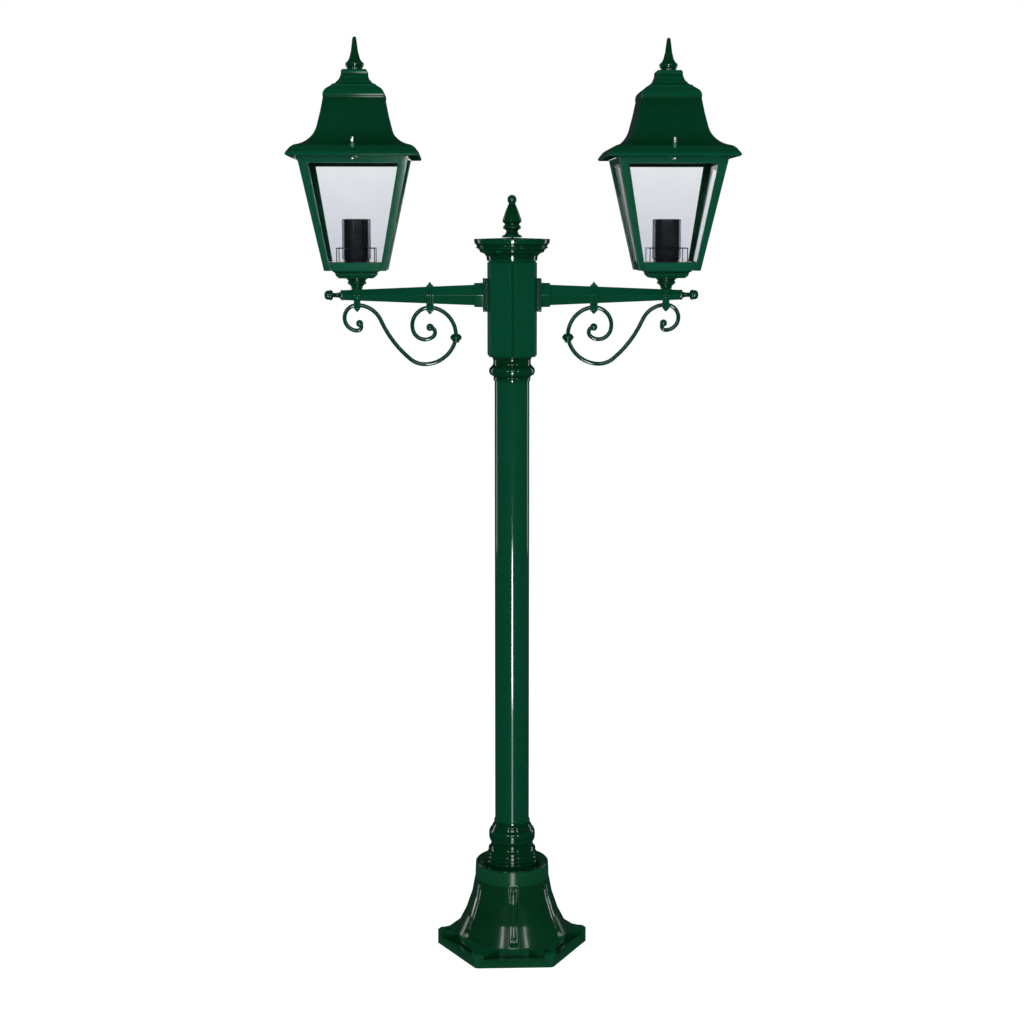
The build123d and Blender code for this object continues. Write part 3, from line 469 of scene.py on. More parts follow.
def makeCoverRing():
    ring = coverRing
    bm = turnOutline([
        (61.2, ring["foot"]), (ring["outer"], ring["foot"], 0.0001), (ring["outer"] - 0.9, ring["height"] - 2.2),
        (ring["top"] - 1.7, ring["height"], 0.5), (ring["hole"] + 1.2, ring["innerHeight"] + 0.6),
        (ring["hole"], ring["innerHeight"] - 0.6, 0.3), (ring["hole"], 142), (50.7, 142), (50.7, 137), (61.1, 137),
    ], 120, 0.4, ring=True)
    for angle in base["screwAngles"]:
        recess = turnOutline([(ring["recess"], screwSeat()), (ring["recess"], ring["height"] + 4)], 36, 0)
        bm = cutAway(bm, turnBy(moveBy(recess, ring["screwCircle"]), angle))
    softenEdges(bm, 0.5, minAngle=40)
    return bm


finishPiece(makeCoverRing(), "coverRing", "green_paint", "post", "base_ring", material=castPaint)


coverScrew = {"outline": [(2.5, -20), (2.5, 0), (4.6, 0), (4.6, 0.8), (3.2, 2.5, -0.35), (0.01, 3, -0.08)],
              "slots": ((5.2, 1.0), (1.0, 5.2)), "slotDepth": 2.4, "slotHeight": 2.6, "turn": 20}


def makeCoverScrews():
    seat = screwSeat()
    screws = []
    for angle in base["screwAngles"]:
        screw = turnOutline([(point[0], seat + point[1]) + point[2:] for point in coverScrew["outline"]], 32, 0.1)
        for x, y in coverScrew["slots"]:
            slot = block(x, y, coverScrew["slotDepth"], 0.1)
            screw = cutAway(screw, moveBy(slot, 0, 0, seat + coverScrew["slotHeight"]))
        screws.append(turnBy(moveBy(turnBy(screw, coverScrew["turn"] + angle), coverRing["screwCircle"]), angle))
    return joinAll(*screws)


finishPiece(makeCoverScrews(), "coverScrews", "bright_steel", "post", "foot_screws")
print("base made")

# post and its collars
post = {
    "tube": [(27, 160), (30, 160), (30, 1040), (27, 1040)],
    "footCollar": [(46.2, 138), (46.2, 144), (45.5, 145), (45.5, 156), (44.6, 158, 0.3), (44.6, 163), (43.4, 164.5),
                   (43.4, 168), (41.9, 176, 0.8), (37.2, 186.6, 1.6), (37.1, 188.4), (38.3, 190), (40.7, 200.7, -1.0),
                   (38.6, 211.3, -1.0), (34.5, 218.3, 0.6), (33.4, 219.3), (31.9, 222), (31.4, 228.4), (30.1, 229)],
    "topCollar": [(30.1, 1009), (31.2, 1009.6), (31.9, 1013.2), (31.4, 1016), (33, 1017.4), (36.3, 1019.6, 0.5),
                  (39.6, 1026.7, -0.9), (36.4, 1033.8, -0.9), (34.4, 1035.6), (32.4, 1040, 0.4), (32.4, 1045),
                  (38.4, 1051, 1.8), (38.4, 1052), (20, 1052)],
}
finishPiece(turnOutline(post["footCollar"], 120, 0.25), "footCollar", "green_paint", "post", "foot_collar")
finishPiece(turnOutline(post["tube"], 120, 0.3, ring=True), "postTube", "green_paint", "post", "post_tube")
finishPiece(turnOutline(post["topCollar"], 120, 0.25), "topCollar", "green_paint", "post", "top_collar")

# head
head = {
    "foot": 1052, "top": 1215, "acrossFlats": 84, "panelDepth": 2, "cornerGap": 2.6, "corner": 2.2,
    "cap": [(38, 1215.4), (43, 1215.4), (44, 1222.6), (54.5, 1229.7, 1.6), (55.7, 1233), (56.8, 1234.4),
            (61.8, 1236.7, 0.6), (61.2, 1238), (60.3, 1240.3, 0.2), (61.4, 1242.6), (63.1, 1243.8, 0.3), (64.3, 1246),
            (64.9, 1251), (64.3, 1252.4, -0.2), (50, 1252.9), (0.01, 1254.4)],
    "finial": [(16.7, 1254.7), (17.2, 1255.7, -0.1), (16.6, 1258.1), (14.6, 1259), (11.4, 1261.5, 0.8), (10, 1265.1),
               (11.9, 1268.3, 0.4), (13.8, 1269), (15.4, 1271.9, -0.5), (13.4, 1275.5, -0.3), (12.6, 1276),
               (13.4, 1279.1, 0.3), (16.7, 1282.5, -0.4), (15.9, 1285.4), (5.6, 1312.2, -0.5), (5.4, 1313.4),
               (6.4, 1313.9), (7.7, 1319, -0.6), (5.2, 1324.8, -0.9), (0.01, 1326.7, -0.6)],
}


def makeHead():
    flats = head["acrossFlats"] - 2 * head["panelDepth"]

    def isCorner(edge):
        reach, rise = hypot(*edge.verts[0].co.xy), abs(edge.verts[0].co.z - edge.verts[1].co.z)
        return reach > flats / 2 / cos(pi / 6) * mm * 0.995 and rise > 0.1

    bm = turnOutline([(flats / 2, head["foot"]), (flats / 2, head["top"])], 6, 0, facing=30)
    walls = [face for face in bm.faces if abs(face.normal.z) < 0.5]
    bmesh.ops.inset_individual(bm, faces=walls, thickness=head["cornerGap"] * mm, use_even_offset=True)
    made = bmesh.ops.extrude_discrete_faces(bm, faces=walls)
    for face in made["faces"]:
        bmesh.ops.translate(bm, verts=face.verts, vec=face.normal * head["panelDepth"] * mm)
    bmesh.ops.remove_doubles(bm, verts=bm.verts, dist=0.01 * mm)
    softenEdges(bm, head["corner"], segments=4, chosen=isCorner)
    softenEdges(bm, 0.8, minAngle=40, segments=3)
    return bm


finishPiece(makeHead(), "headBody", "green_paint", "post", "head_body")
finishPiece(turnOutline(head["cap"], 120, 0.25), "headCap", "green_paint", "head_cap", "head_cap")
finishPiece(turnOutline(head["finial"], 64, 0.15), "headFinial", "green_paint", "head_finial", "head_finial")
print("post and head made")

# arms
arm = {
    "height": 1157, "gasket": (42, 45, 43, 56), "plate": (45, 49.8, 43, 57), "plateCorner": 3,
    "ferruleStart": 49.8, "ferruleEnd": 65, "ferruleAcross": 41.1, "ferruleEndAcross": 40.3,
    "rootAcross": 34.4, "tipAcross": 16.6, "end": 290, "reach": 265,
    "seat": [(9.4, 1151), (10.2, 1152.4), (10.2, 1166.7), (9.4, 1167.5)],
    "tip": [(4, -2), (8.4, -2), (8.9, 0.2), (8.9, 1.6), (7.9, 2.6), (4.2, 8.2, 1.1), (3.85, 10), (3.85, 15.6),
            (4.6, 16.2), (7.75, 22.75, -2.4), (0.01, 30.5, -3.2)],
}


def plateAcross(near, far, width, height, soft):
    # a plate with rounded corners that faces along X
    half, tall = width / 2, height / 2
    bm = prismFrom([(-half, -tall), (half, -tall), (half, tall), (-half, tall)], 0, far - near,
                   cornerRadius=arm["plateCorner"])
    softenEdges(bm, soft, minAngle=60, segments=3)
    bmesh.ops.rotate(bm, verts=bm.verts, cent=(0, 0, 0), matrix=Matrix(((0, 0, 1), (1, 0, 0), (0, 1, 0))))
    return moveBy(bm, near, 0, arm["height"])


def hexAlong(near, far, acrossNear, acrossFar, soft):
    # a tapered hexagonal bar along X with flats above and below
    bm = bmesh.new()
    grow = 0.5 / cos(pi / 6) * mm
    bmesh.ops.create_cone(bm, cap_ends=True, segments=6, radius1=acrossNear * grow, radius2=acrossFar * grow,
                          depth=(far - near) * mm)
    bmesh.ops.rotate(bm, verts=bm.verts, cent=(0, 0, 0), matrix=Matrix.Rotation(radians(90), 3, "Y"))
    softenEdges(bm, soft, segments=3)
    return moveBy(bm, (near + far) / 2, 0, arm["height"])


def armAcross(distance):
    share = (distance - arm["ferruleEnd"]) / (arm["end"] - arm["ferruleEnd"])
    return arm["rootAcross"] + (arm["tipAcross"] - arm["rootAcross"]) * share


def makeSocket():
    plate = plateAcross(*arm["plate"], 1.2)
    collar = hexAlong(arm["ferruleStart"] - 1, arm["ferruleEnd"], arm["ferruleAcross"], arm["ferruleEndAcross"], 1.0)
    return joinAll(plate, collar)


def makeArm():
    bar = hexAlong(arm["ferruleEnd"] - 6, arm["end"], armAcross(arm["ferruleEnd"] - 6), arm["tipAcross"], 0.6)
    seat = moveBy(turnOutline(arm["seat"], 40, 0.2), arm["reach"])
    return joinAll(bar, seat)


def makeTip():
    return moveBy(turnBy(turnOutline(arm["tip"], 40, 0.15), 90, "Y"), arm["end"], 0, arm["height"])


# scrollwork
scroll = {
    "rod": 3.5, "upperRise": 3, "upperHeading": 91, "upperArcs": ((48, -79), (30.5, -121), (21.5, -111), (9, -138)),
    "lowerHeading": -81, "lowerArcs": ((54.5, 80.5), (38.5, 40.5), (185, 26), (44, -66), (21.8, -180), (6.7, -145)),
    "upperEye": 6.5, "lowerEye": 6.2, "clampWall": 1.4, "innerWidth": 12.4, "outerWidth": 11, "point": 5,
    "outerRodHeight": 1140,
    "bead": [(3.6, -9), (5.1, -9), (5.9, -6), (7, -5, 0.3), (8.6, -2.6, -0.3), (10, 0, -0.5), (8.6, 2.6, -0.5),
             (7, 5, -0.3), (5.1, 6), (3.6, 6)],
}


def bendRod(place, heading, arcs, eye):
    # a round rod bent through arcs of (radius, turn) in the XZ plane, with a ball at its end
    bm = bmesh.new()
    made = bmesh.ops.create_circle(bm, cap_ends=False, segments=20, radius=scroll["rod"] * mm)
    aim = Vector((cos(radians(heading)), 0, sin(radians(heading))))
    bmesh.ops.rotate(bm, verts=made["verts"], cent=(0, 0, 0), matrix=aim.to_track_quat("Z", "Y").to_matrix())
    place = Vector((place[0] * mm, 0, place[1] * mm))
    bmesh.ops.translate(bm, verts=made["verts"], vec=place)
    loop = bm.verts[:] + bm.edges[:]
    for radius, turn in arcs:
        way = 1 if turn > 0 else -1
        left = Vector((-sin(radians(heading)), 0, cos(radians(heading))))
        centre = place + left * radius * mm * way
        made = bmesh.ops.spin(bm, geom=loop, cent=centre, axis=(0, 1, 0), angle=-radians(turn),
                              steps=max(6, ceil(abs(turn) / 5)))
        loop = made["geom_last"]
        place = centre + Matrix.Rotation(-radians(turn), 3, "Y") @ (place - centre)
        heading += turn
    closeAndTurnOut(bm)
    ball = bmesh.new()
    bmesh.ops.create_uvsphere(ball, u_segments=28, v_segments=18, radius=eye * mm)
    bmesh.ops.translate(ball, verts=ball.verts, vec=place)
    return joinAll(bm, ball)


def scrollStart():
    low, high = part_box("scroll_collar_right")
    return (low.x + high.x) / 2 / mm, low.z / mm + 9


def makeClamp(node, width, rodHeight, knob):
    # three ribs side by side wrap the arm and the rod and end in a point
    low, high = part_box(node)
    middle = (low.x + high.x) / 2 / mm
    across = armAcross(middle) + 2 * scroll["clampWall"]
    foot = rodHeight - scroll["rod"] - 3
    under = arm["height"] - armAcross(middle) / 2
    pieces = []
    for shift in (-1, 0, 1):
        near, far = middle + (shift - 0.5) * width / 3, middle + (shift + 0.5) * width / 3
        pieces.append(hexAlong(near, far, across, across, 0.9))
        rib = block(width / 3, 2 * scroll["rod"] + 4, under + 2 - foot, 1.1, 3)
        pieces.append(moveBy(rib, (near + far) / 2, 0, (under + 2 + foot) / 2))
    point = turnOutline([(1, 0), (scroll["rod"] + 1.6, scroll["point"]), (scroll["rod"] + 1.6, scroll["point"] + 1)],
                        4, 0.4, facing=45)
    pieces.append(moveBy(point, middle, 0, foot - scroll["point"]))
    if knob:
        top = arm["height"] + across / 2
        crown = turnOutline([(width / 2 - 0.6, -0.8), (width / 2 - 0.6, 0.6), (1.6, scroll["point"] - 0.6)], 4, 0.4,
                            facing=45)
        pieces.append(moveBy(crown, middle, 0, top))
        tip = bmesh.new()
        bmesh.ops.create_uvsphere(tip, u_segments=16, v_segments=12, radius=1.8 * mm)
        pieces.append(moveBy(tip, middle, 0, top + scroll["point"]))
    return joinAll(*pieces)


def innerCrest():
    # the highest point of the upper rod, where the inner clamp holds it
    x, z = scrollStart()
    heading, place, best = scroll["upperHeading"], Vector((x, 0, z + scroll["upperRise"])), z
    for radius, turn in scroll["upperArcs"]:
        way = 1 if turn > 0 else -1
        centre = place + Vector((-sin(radians(heading)), 0, cos(radians(heading)))) * radius * way
        for step in range(21):
            spot = centre + Matrix.Rotation(-radians(turn * step / 20), 3, "Y") @ (place - centre)
            best = max(best, spot.z)
        place, heading = spot, heading + turn
    return best


start = scrollStart()
for side, sign in sides.items():
    turned = 0 if sign > 0 else 180
    upper = bendRod((start[0], start[1] + scroll["upperRise"]), scroll["upperHeading"], scroll["upperArcs"],
                    scroll["upperEye"])
    lower = bendRod(start, scroll["lowerHeading"], scroll["lowerArcs"], scroll["lowerEye"])
    bead = moveBy(turnOutline(scroll["bead"], 40, 0.2), start[0], 0, start[1])
    inner = makeClamp("clamp_inner_right", scroll["innerWidth"], innerCrest(), True)
    outer = makeClamp("clamp_outer_right", scroll["outerWidth"], scroll["outerRodHeight"], False)
    for bm, name, node in ((makeSocket(), "armSocket", "arm_socket"), (makeArm(), "arm", "arm"),
                           (makeTip(), "armTip", "arm_tip"), (upper, "upperScroll", "scroll_upper"),
                           (lower, "lowerScroll", "scroll_lower"), (bead, "scrollBead", "scroll_collar"),
                           (inner, "innerClamp", "clamp_inner"), (outer, "outerClamp", "clamp_outer")):
        finishPiece(turnBy(bm, turned), name + "." + side, "green_paint", "post", node + "_" + side)
gaskets = [turnBy(plateAcross(*arm["gasket"], 0.5), turned) for turned in (0, 180)]
finishPiece(joinAll(*gaskets), "armGaskets", "black_rubber", "post", "arm_gaskets")
print("arms and scrolls made")

# lanterns
lantern = {
    "foot": 1199, "top": 1389, "footHalf": 52.2, "topHalf": 92.1, "stripFoot": 10.5, "stripTop": 16, "wall": 3,
    "railFoot": 1377, "lip": 5, "bandTop": 1213, "bandBack": 1.2, "boltReach": 97,
    "stem": [(8.8, 1167.9), (10, 1168.8), (10, 1171.4), (11.4, 1173.2, 0.4), (15.2, 1175.7, 0.6), (15.8, 1176.6),
             (15.8, 1179.2), (14.8, 1180.6), (15.2, 1182, 0.3), (18.3, 1184.6, 0.5), (18.5, 1186)],
    "galleryFoot": [(26.5, 1186), (31, 1188.6, -0.9), (34.4, 1193.2, -0.9), (35, 1195.6), (38.8, 1197.4),
                    (38.8, 1200), (30, 1200)],
}


def lanternHalf(height, inset=0):
    share = (height - lantern["foot"]) / (lantern["top"] - lantern["foot"])
    return lantern["footHalf"] + (lantern["topHalf"] - lantern["footHalf"]) * share - inset


def stripWidth(height):
    share = (height - lantern["foot"]) / (lantern["top"] - lantern["foot"])
    return lantern["stripFoot"] + (lantern["stripTop"] - lantern["stripFoot"]) * share


def makeCornerPost():
    # an angle section that leans and widens upwards
    half, low, high = lanternHalf(lantern["foot"]), lantern["foot"], lantern["top"] - 0.6
    strip, wall = stripWidth(low), lantern["wall"]
    outline = [(0, 0), (strip, 0), (strip, wall), (wall, wall), (wall, strip), (0, strip)]
    bm = prismFrom([(half - x, half - y) for x, y in outline], low, high)
    grow = {0: 0, wall: wall, strip: stripWidth(high)}
    for vert in bm.verts:
        if vert.co.z > (low + 1) * mm:
            for axis in (0, 1):
                offset = min(grow, key=lambda value: abs(half - value - vert.co[axis] / mm))
                vert.co[axis] = (lanternHalf(high) - grow[offset]) * mm
    bmesh.ops.recalc_face_normals(bm, faces=bm.faces)
    softenEdges(bm, 0.7, segments=3)
    return bm


def makeLanternFrame():
    parts = [turnBy(makeCornerPost(), 90 * turn) for turn in range(4)]
    low, high, wall = lantern["railFoot"], lantern["top"], lantern["wall"]
    under = high - lantern["lip"]
    rail = [(lanternHalf(low, 0.35), low), (lanternHalf(high, 0.35), high), (lanternHalf(high, 11), high),
            (lanternHalf(high, 11), under), (lanternHalf(under, wall), under), (lanternHalf(low, wall), low)]
    parts.append(turnOutline(rail, 4, 0.5, ring=True, facing=45))
    near, far = lanternHalf(high) - 4, lantern["boltReach"] + 5
    for turn in (0, 180):
        lug = block(14, far - near, 4, 0.8, 3)
        parts.append(turnBy(moveBy(lug, 0, -(near + far) / 2, high - 2), turn))
    return joinAll(*parts)


def makeGallery():
    bm = turnOutline(lantern["galleryFoot"], 4, 0.4, facing=45)
    low, high = lantern["foot"], lantern["bandTop"]
    back = lantern["bandBack"]
    band = [(lanternHalf(low, back), low + 0.2), (lanternHalf(high, back), high), (lanternHalf(high, 14), high),
            (lanternHalf(high, 14), high - 3), (lanternHalf(low, 6), low + 0.2)]
    band = turnOutline(band, 4, 0.5, ring=True, facing=45)
    return joinAll(bm, band)


def makeShadeSheet():
    # a black sheet on the floor inside the glass, which the lamp holder stands on; it is painted shade on the
    # gallery's floor
    low, high = lantern["foot"], lantern["bandTop"]
    return turnOutline([(0.01, low + 0.6), (lanternHalf(low, 5), low + 0.6), (lanternHalf(low, 5), high - 1.2),
                        (lanternHalf(high, 5.4), high - 0.05), (0.01, high - 0.05)], 4, 0.2, facing=45)


glass = {"foot": 1213.4, "top": 1383, "inset": 3.4, "thickness": 3, "edgeGap": 4, "topGap": 7, "bevel": 6,
         "bevelDepth": 0.9}


def makePanes():
    panes = []
    for turn in range(4):
        low, high = glass["foot"], glass["top"]
        wide, narrow = lanternHalf(high) - glass["topGap"], lanternHalf(low) - glass["edgeGap"]
        bm = bmesh.new()
        corners = [(-narrow, -lanternHalf(low, glass["inset"]), low), (narrow, -lanternHalf(low, glass["inset"]), low),
                   (wide, -lanternHalf(high, glass["inset"]), high), (-wide, -lanternHalf(high, glass["inset"]), high)]
        face = bm.faces.new([bm.verts.new((x * mm, y * mm, z * mm)) for x, y, z in corners])
        face.normal_update()
        outward = face.normal.copy()
        made = bmesh.ops.extrude_face_region(bm, geom=[face])
        bmesh.ops.translate(bm, verts=[item for item in made["geom"] if isinstance(item, bmesh.types.BMVert)],
                            vec=-outward * glass["thickness"] * mm * (1 if outward.y < 0 else -1))
        bmesh.ops.recalc_face_normals(bm, faces=bm.faces)
        front = min(bm.faces, key=lambda item: item.calc_center_median().y)
        bmesh.ops.inset_region(bm, faces=[front], thickness=glass["bevel"] * mm, use_even_offset=True)
        ring = [vert for vert in bm.verts if vert not in front.verts
                and (vert.co - front.calc_center_median()).dot(front.normal) > -0.2 * mm]
        bmesh.ops.translate(bm, verts=ring, vec=-front.normal * glass["bevelDepth"] * mm)
        panes.append(turnBy(bm, 90 * turn))
    return joinAll(*panes)


holder = {
    "clipHeight": 1237, "clipHalf": 33, "clipCorner": 4, "wire": 0.8, "standHeight": 1213,
    "base": [(3.4, 1213), (22.5, 1213), (22.5, 1216.6), (21.2, 1218, 0.3), (16.5, 1218), (16.5, 1249.6),
             (3.4, 1249.6)],
    "shroud": [(23.5, 1218), (24.5, 1220), (24.5, 1285), (23.9, 1286), (22.7, 1286), (22.7, 1218)],
    "web": [(14.1, 1269), (23, 1269), (23, 1272), (14.1, 1272)],
    "shellTop": 1272, "shellFoot": 1250, "shellRadius": 13.2, "pitch": 3.6,
}


def makeClip():
    # a wire loop round the shroud on four turned-down legs
    half, corner, wire = holder["clipHalf"], holder["clipCorner"], holder["wire"]
    bm = bmesh.new()
    made = bmesh.ops.create_circle(bm, cap_ends=False, segments=12, radius=wire * mm)
    bmesh.ops.rotate(bm, verts=made["verts"], cent=(0, 0, 0), matrix=Matrix.Rotation(radians(90), 3, "Y"))
    bmesh.ops.translate(bm, verts=made["verts"], vec=((corner - half) * mm, -half * mm, holder["clipHeight"] * mm))
    loop = bm.verts[:] + bm.edges[:]
    for turn in range(4):
        aim = Matrix.Rotation(radians(90 * turn), 3, "Z") @ Vector((2 * (half - corner) * mm, 0, 0))
        made = bmesh.ops.extrude_edge_only(bm, edges=[item for item in loop if isinstance(item, bmesh.types.BMEdge)])
        verts = [item for item in made["geom"] if isinstance(item, bmesh.types.BMVert)]
        bmesh.ops.translate(bm, verts=verts, vec=aim)
        loop = verts + [item for item in made["geom"] if isinstance(item, bmesh.types.BMEdge)
                        and all(vert in verts for vert in item.verts)]
        centre = Matrix.Rotation(radians(90 * turn), 3, "Z") @ Vector(
            ((half - corner) * mm, (corner - half) * mm, holder["clipHeight"] * mm))
        made = bmesh.ops.spin(bm, geom=loop, cent=centre, axis=(0, 0, 1), angle=radians(90), steps=8)
        loop = made["geom_last"]
    bmesh.ops.remove_doubles(bm, verts=bm.verts, dist=0.02 * mm)
    bmesh.ops.recalc_face_normals(bm, faces=bm.faces)
    spot = half - corner + corner * cos(pi / 4)
    for turn in range(4):
        leg = turnOutline([(wire, holder["standHeight"]), (wire, holder["clipHeight"])], 12, 0.1)
        joinAll(bm, turnBy(moveBy(leg, spot, spot), 90 * turn))
    return bm


def makeShell():
    # a rolled thread shows as rounded rings
    outline = [(8, holder["shellFoot"]), (holder["shellRadius"], holder["shellFoot"])]
    height = holder["shellFoot"]
    while height + holder["pitch"] < holder["shellTop"]:
        outline.append((holder["shellRadius"], height + holder["pitch"], 0.55))
        height += holder["pitch"]
    outline += [(holder["shellRadius"], holder["shellTop"]), (holder["shellRadius"] + 0.8, holder["shellTop"]),
                (holder["shellRadius"] + 0.8, holder["shellFoot"] - 0.8), (8, holder["shellFoot"] - 0.8)]
    return turnOutline(outline, 48, 0.1, ring=True)


roof = {
    "outer": [(110, 1389.7), (110, 1390.4), (105.6, 1397.4, -0.6), (98.6, 1404.6, -0.7), (94.5, 1406.7, -0.2),
              (61, 1437.7, 6.6), (50.6, 1485.7, 0.6), (43.4, 1503, -3.2), (37.4, 1507)],
    "wall": 2.6,
    "cap": [(37.4, 1507), (37.4, 1508), (32.9, 1510), (31.6, 1510.6), (28.7, 1514, 0.4), (23.8, 1521, 0.7),
            (23.4, 1522.4), (22.4, 1524), (21.9, 1528), (19.8, 1534.6, -0.9), (13, 1535), (0.01, 1535)],
    "finial": [(13.3, 1535), (13.3, 1538.2), (13.9, 1539.2), (15.4, 1543, -0.4), (15.4, 1545.6, -0.4),
               (14.2, 1547, -0.2), (9.9, 1552.7, 0.8), (9.1, 1553.4), (6.8, 1563), (6.4, 1563.6), (3.6, 1585),
               (2.6, 1588.6, -0.3), (0.01, 1590, -0.2)],
    "seatRadius": 5.5, "seatFoot": 1397, "seatTop": 1410.7,
}


def onRidge(edge):
    first, second = (vert.co for vert in edge.verts)
    diagonal = all(abs(abs(spot.x) - abs(spot.y)) < 0.1 * mm for spot in (first, second))
    return diagonal and edge.calc_length() > 0.1 * mm and first.x * second.x > 0 and first.y * second.y > 0


def makeRoof():
    outer, wall = roof["outer"], roof["wall"]
    inner = [(point[0] - wall, point[1] - wall * 0.7) for point in reversed(outer)]
    for index in range(1, len(inner)):
        bulge = outer[len(outer) - index][2:]
        if bulge:
            inner[index] += (-bulge[0],)
    bm = turnOutline(outer + inner, 4, 0, ring=True, facing=45)
    softenEdges(bm, 1.3, minAngle=20, segments=3, chosen=onRidge)
    seats = []
    for turn in (0, 180):
        seat = turnOutline([(roof["seatRadius"], roof["seatFoot"]), (roof["seatRadius"], roof["seatTop"] - 0.6),
                            (roof["seatRadius"] - 0.6, roof["seatTop"], -0.2)], 32, 0)
        seats.append(turnBy(moveBy(seat, 0, -lantern["boltReach"]), turn))
    return joinAll(bm, *seats)


bolts = {
    "head": [(0.01, 1381.9), (2.6, 1382.1), (4, 1383.6, -0.5), (4, 1385)],
    "shank": [(2, 1384), (2, 1416.6)],
    "washer": [(2.1, 1411), (4.4, 1411), (4.4, 1411.8), (2.1, 1411.8)],
    "nut": [(2.1, 1411.8), (3.2, 1411.8), (3.5, 1412.3), (3.5, 1415.5), (3.2, 1416), (2.1, 1416)],
    "dome": [(3, 1415.8), (3, 1418), (2.1, 1420.6, -0.35), (0.01, 1421.5, -0.25)],
}


def makeBolts():
    parts = []
    for turn in (0, 180):
        for name in ("head", "shank"):
            parts.append(turnBy(moveBy(turnOutline(bolts[name], 28, 0.1), 0, -lantern["boltReach"]), turn))
    return joinAll(*parts)


def makeNut(turn):
    washer = turnOutline(bolts["washer"], 28, 0.1, ring=True)
    nut = turnOutline(bolts["nut"], 6, 0.15, ring=True)
    cap = turnOutline(bolts["dome"], 28, 0.1)
    return turnBy(moveBy(joinAll(washer, nut, cap), 0, -lantern["boltReach"]), turn)


for side, sign in sides.items():
    shift = sign * arm["reach"]
    pieces = [
        (turnOutline(lantern["stem"], 64, 0.2), "lanternStem", "green_paint", "lantern", "lantern_stem"),
        (makeGallery(), "lanternGallery", "green_paint", "lantern", "lantern_gallery"),
        # a black sheet of painted shade on the gallery's floor
        (makeShadeSheet(), "galleryShadeSheet", "black_rubber", "lantern", "lantern_gallery"),
        (makeLanternFrame(), "lanternFrame", "green_paint", "lantern", "lantern_frame"),
        (makePanes(), "glassPanes", "clear_glass", "lantern", "glass_panes"),
        (makeClip(), "holderClip", "bright_steel", "lantern", "holder_clip"),
        (turnOutline(holder["base"], 64, 0.3, ring=True), "lampHolder", "black_plastic", "lantern", "lamp_holder"),
        (joinAll(turnOutline(holder["shroud"], 72, 0.25, ring=True), turnOutline(holder["web"], 72, 0.2, ring=True)),
         "lampShroud", "black_plastic", "lantern", "lamp_shroud"),
        (makeShell(), "lampShell", "shell_brass", "lantern", "lamp_shell"),
        (makeBolts(), "roofBolts", "bright_steel", "lantern", "roof_bolts"),
        (makeRoof(), "roof", "green_paint", "roof", "roof"),
        (turnOutline(roof["cap"], 4, 0.5, facing=45), "roofCap", "green_paint", "roof", "roof_cap"),
        (turnOutline(roof["finial"], 48, 0.15), "roofFinial", "green_paint", "roof", "roof_finial"),
        (makeNut(0), "roofNutFront", "bright_steel", "roof_nut_front", "roof_nut_front"),
        (makeNut(180), "roofNutBack", "bright_steel", "roof_nut_back", "roof_nut_back"),
    ]
    for bm, name, slotName, body, node in pieces:
        obj = finishPiece(moveBy(bm, shift), name + "." + side, slotName, body + "_" + side, node + "_" + side,
                          material=wireSteel if name == "holderClip" else None)
        obj.visible_shadow = name != "glassPanes"   # daylight reaches the inside of the lantern
print("lanterns made")

# floor, lights and camera
stage = {"floorSize": 80, "floorLow": (0.14, 0.14, 0.14, 1), "floorHigh": (0.16, 0.16, 0.16, 1), "floorGlow": 0.97,
         "backdrop": (1.0, 1.0, 1.0, 1), "backdropStrength": 1.0, "fill": (0.85, 0.95, 1.0, 1), "fillStrength": 0.3,
         "gloom": (0.6, 0.9, 1.0, 1), "gloomStrength": 0.03}
camera = {"distance": 3.0, "height": 1.26, "azimuth": -2.0, "pitch": 7.1, "lens": 61.3, "shift": -0.059}
paper = {"rows": ((-0.3, 0.035), (-1.7, 0.12), (-3.95, 0.21)), "height": 0.002, "dim": 4.6, "bright": 44.0,
         "blendStart": -1.85, "blendEnd": -1.55}
softboxes = [
    # name, place, width, height, power, looks at, shows in the gloss
    ("windowLeft", (-1.25, -2.8, 1.9), 0.16, 1.2, 9, (0, 0, 1.4), True),
    ("windowRight", (1.5, -2.7, 1.9), 0.16, 1.2, 8, (0, 0, 1.4), True),
    ("frontHigh", (0.0, -2.9, 1.9), 0.8, 1.0, 14, (0, 0, 0.9), True),
    ("rimLeft", (-2.6, 1.8, 1.3), 0.5, 2.4, 9, (0, 0, 0.9), True),
    ("rimRight", (2.6, 1.8, 1.3), 0.5, 2.4, 8, (0, 0, 0.9), True),
    ("fillLeft", (-2.4, -2.6, 2.2), 2.0, 2.0, 62, (0, 0, 0.8), False),
    ("fillRight", (2.6, -2.4, 2.0), 2.0, 2.0, 48, (0, 0, 0.8), False),
    ("fillTop", (0.0, -0.4, 3.8), 2.4, 2.4, 34, (0, 0, 1.0), False),
    ("fillBack", (0.3, 3.4, 2.2), 2.0, 2.0, 26, (0, 0, 0.8), False),
]


def makeFloor():
    bm = bmesh.new()
    bmesh.ops.create_grid(bm, x_segments=1, y_segments=1, size=stage["floorSize"] / 2)
    obj = asObject(bm, "floor")
    mat, tree, shader, place = startMaterial("floor", Roughness=0.6, Emission_Color=(1, 1, 1, 1),
                                             Emission_Strength=stage["floorGlow"])
    tree.links.new(addRamp(tree, addNoise(tree, place, 3), stage["floorLow"], stage["floorHigh"]),
                   shader.inputs["Base Color"])
    obj.data.materials.append(mat)
    obj.visible_glossy = obj.visible_transmission = False


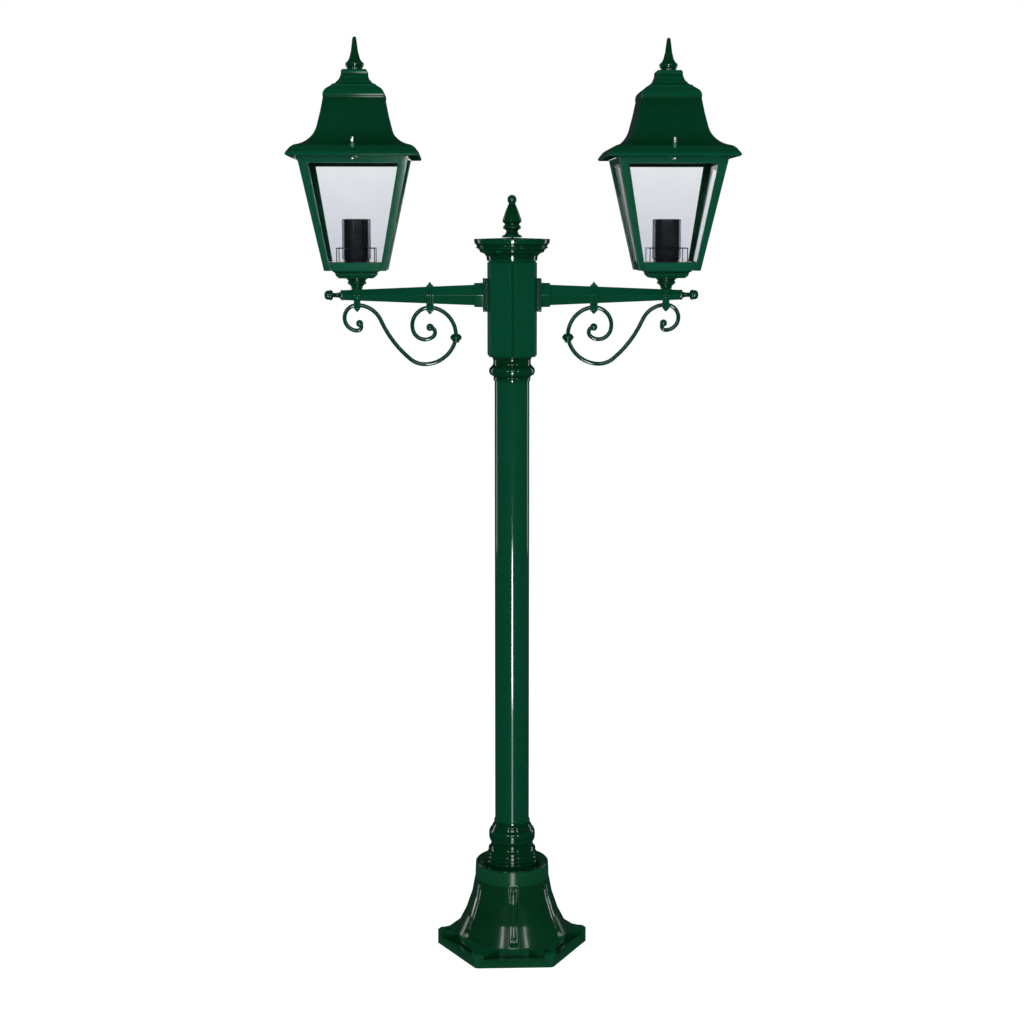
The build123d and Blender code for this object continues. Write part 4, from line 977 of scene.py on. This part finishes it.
def makePaper():
    # a lit strip on the floor in front of the lamp, which only its gloss shows
    bm = bmesh.new()
    pairs = [[bm.verts.new((x, y, paper["height"])) for x in (-half, half)] for y, half in paper["rows"]]
    for near, far in zip(pairs, pairs[1:]):
        bm.faces.new((near[0], far[0], far[1], near[1]))
    bmesh.ops.recalc_face_normals(bm, faces=bm.faces)
    obj = asObject(bm, "paper")
    mat, tree, shader, place = startMaterial("paper", Roughness=0.8, Emission_Color=(1, 1, 1, 1))
    depth = tree.nodes.new("ShaderNodeSeparateXYZ")
    tree.links.new(place, depth.inputs[0])
    glow = addRange(tree, depth.outputs["Y"], paper["bright"], paper["dim"], paper["blendStart"], paper["blendEnd"])
    tree.links.new(glow, shader.inputs["Emission Strength"])
    obj.data.materials.append(mat)
    obj.visible_camera = obj.visible_diffuse = obj.visible_transmission = obj.visible_shadow = False


def makeLights():
    for name, place, width, height, power, target, shows in softboxes:
        data = bpy.data.lights.new(name, "AREA")
        data.shape, data.size, data.size_y, data.energy = "RECTANGLE", width, height, power
        obj = bpy.data.objects.new(name, data)
        obj.location = place
        obj.rotation_euler = (Vector(target) - Vector(place)).to_track_quat("-Z", "Y").to_euler()
        obj.visible_camera, obj.visible_glossy, obj.visible_transmission = False, shows, shows
        scene.collection.objects.link(obj)


def makeWorld():
    # a white backdrop seen directly and through the glass, a soft fill for the paint and little for its gloss
    world = bpy.data.worlds.new("studio")
    world.use_nodes = True
    tree = world.node_tree
    path = tree.nodes.new("ShaderNodeLightPath")

    def light(name):
        shader = tree.nodes.new("ShaderNodeBackground")
        shader.inputs["Color"].default_value = stage[name]
        shader.inputs["Strength"].default_value = stage[name + "Strength"]
        return shader.outputs[0]

    def blend(fac, first, second):
        mix = tree.nodes.new("ShaderNodeMixShader")
        tree.links.new(fac, mix.inputs[0])
        tree.links.new(first, mix.inputs[1])
        tree.links.new(second, mix.inputs[2])
        return mix.outputs[0]

    def work(operation, first, second):
        node = tree.nodes.new("ShaderNodeMath")
        node.operation = operation
        tree.links.new(first, node.inputs[0])
        if isinstance(second, float):
            node.inputs[1].default_value = second
        else:
            tree.links.new(second, node.inputs[1])
        return node.outputs[0]

    bounced = work("ADD", path.outputs["Glossy Depth"], path.outputs["Diffuse Depth"])
    straight = work("MULTIPLY", path.outputs["Is Transmission Ray"], work("LESS_THAN", bounced, 0.5))
    heading = tree.nodes.new("ShaderNodeSeparateXYZ")
    tree.links.new(tree.nodes.new("ShaderNodeTexCoord").outputs["Generated"], heading.inputs[0])
    behind = work("MULTIPLY", work("GREATER_THAN", path.outputs["Transmission Depth"], 0.5),
                  work("GREATER_THAN", heading.outputs["Y"], 0.3))   # mirrored inside a lantern
    seen = work("MAXIMUM", work("MAXIMUM", path.outputs["Is Camera Ray"], straight), behind)
    shine = work("GREATER_THAN", path.outputs["Glossy Depth"], 0.5)
    dull = blend(shine, light("fill"), light("gloom"))
    tree.links.new(blend(seen, dull, light("backdrop")), tree.nodes["World Output"].inputs["Surface"])
    tree.nodes.remove(tree.nodes["Background"])
    world.cycles.sampling_method = "NONE"   # so that the fill isn't mirrored in the gloss
    scene.world = world


def makeCamera():
    data = bpy.data.cameras.new("camera")
    data.lens, data.sensor_width, data.shift_y = camera["lens"], 36, camera["shift"]
    obj = bpy.data.objects.new("camera", data)
    turn = radians(camera["azimuth"])
    obj.location = (sin(turn) * camera["distance"], -cos(turn) * camera["distance"], camera["height"])
    obj.rotation_euler = (radians(90 - camera["pitch"]), 0, turn)
    scene.collection.objects.link(obj)
    scene.camera = obj


scene.view_settings.view_transform = "Standard"
makeFloor()
makePaper()
makeLights()
makeWorld()
makeCamera()
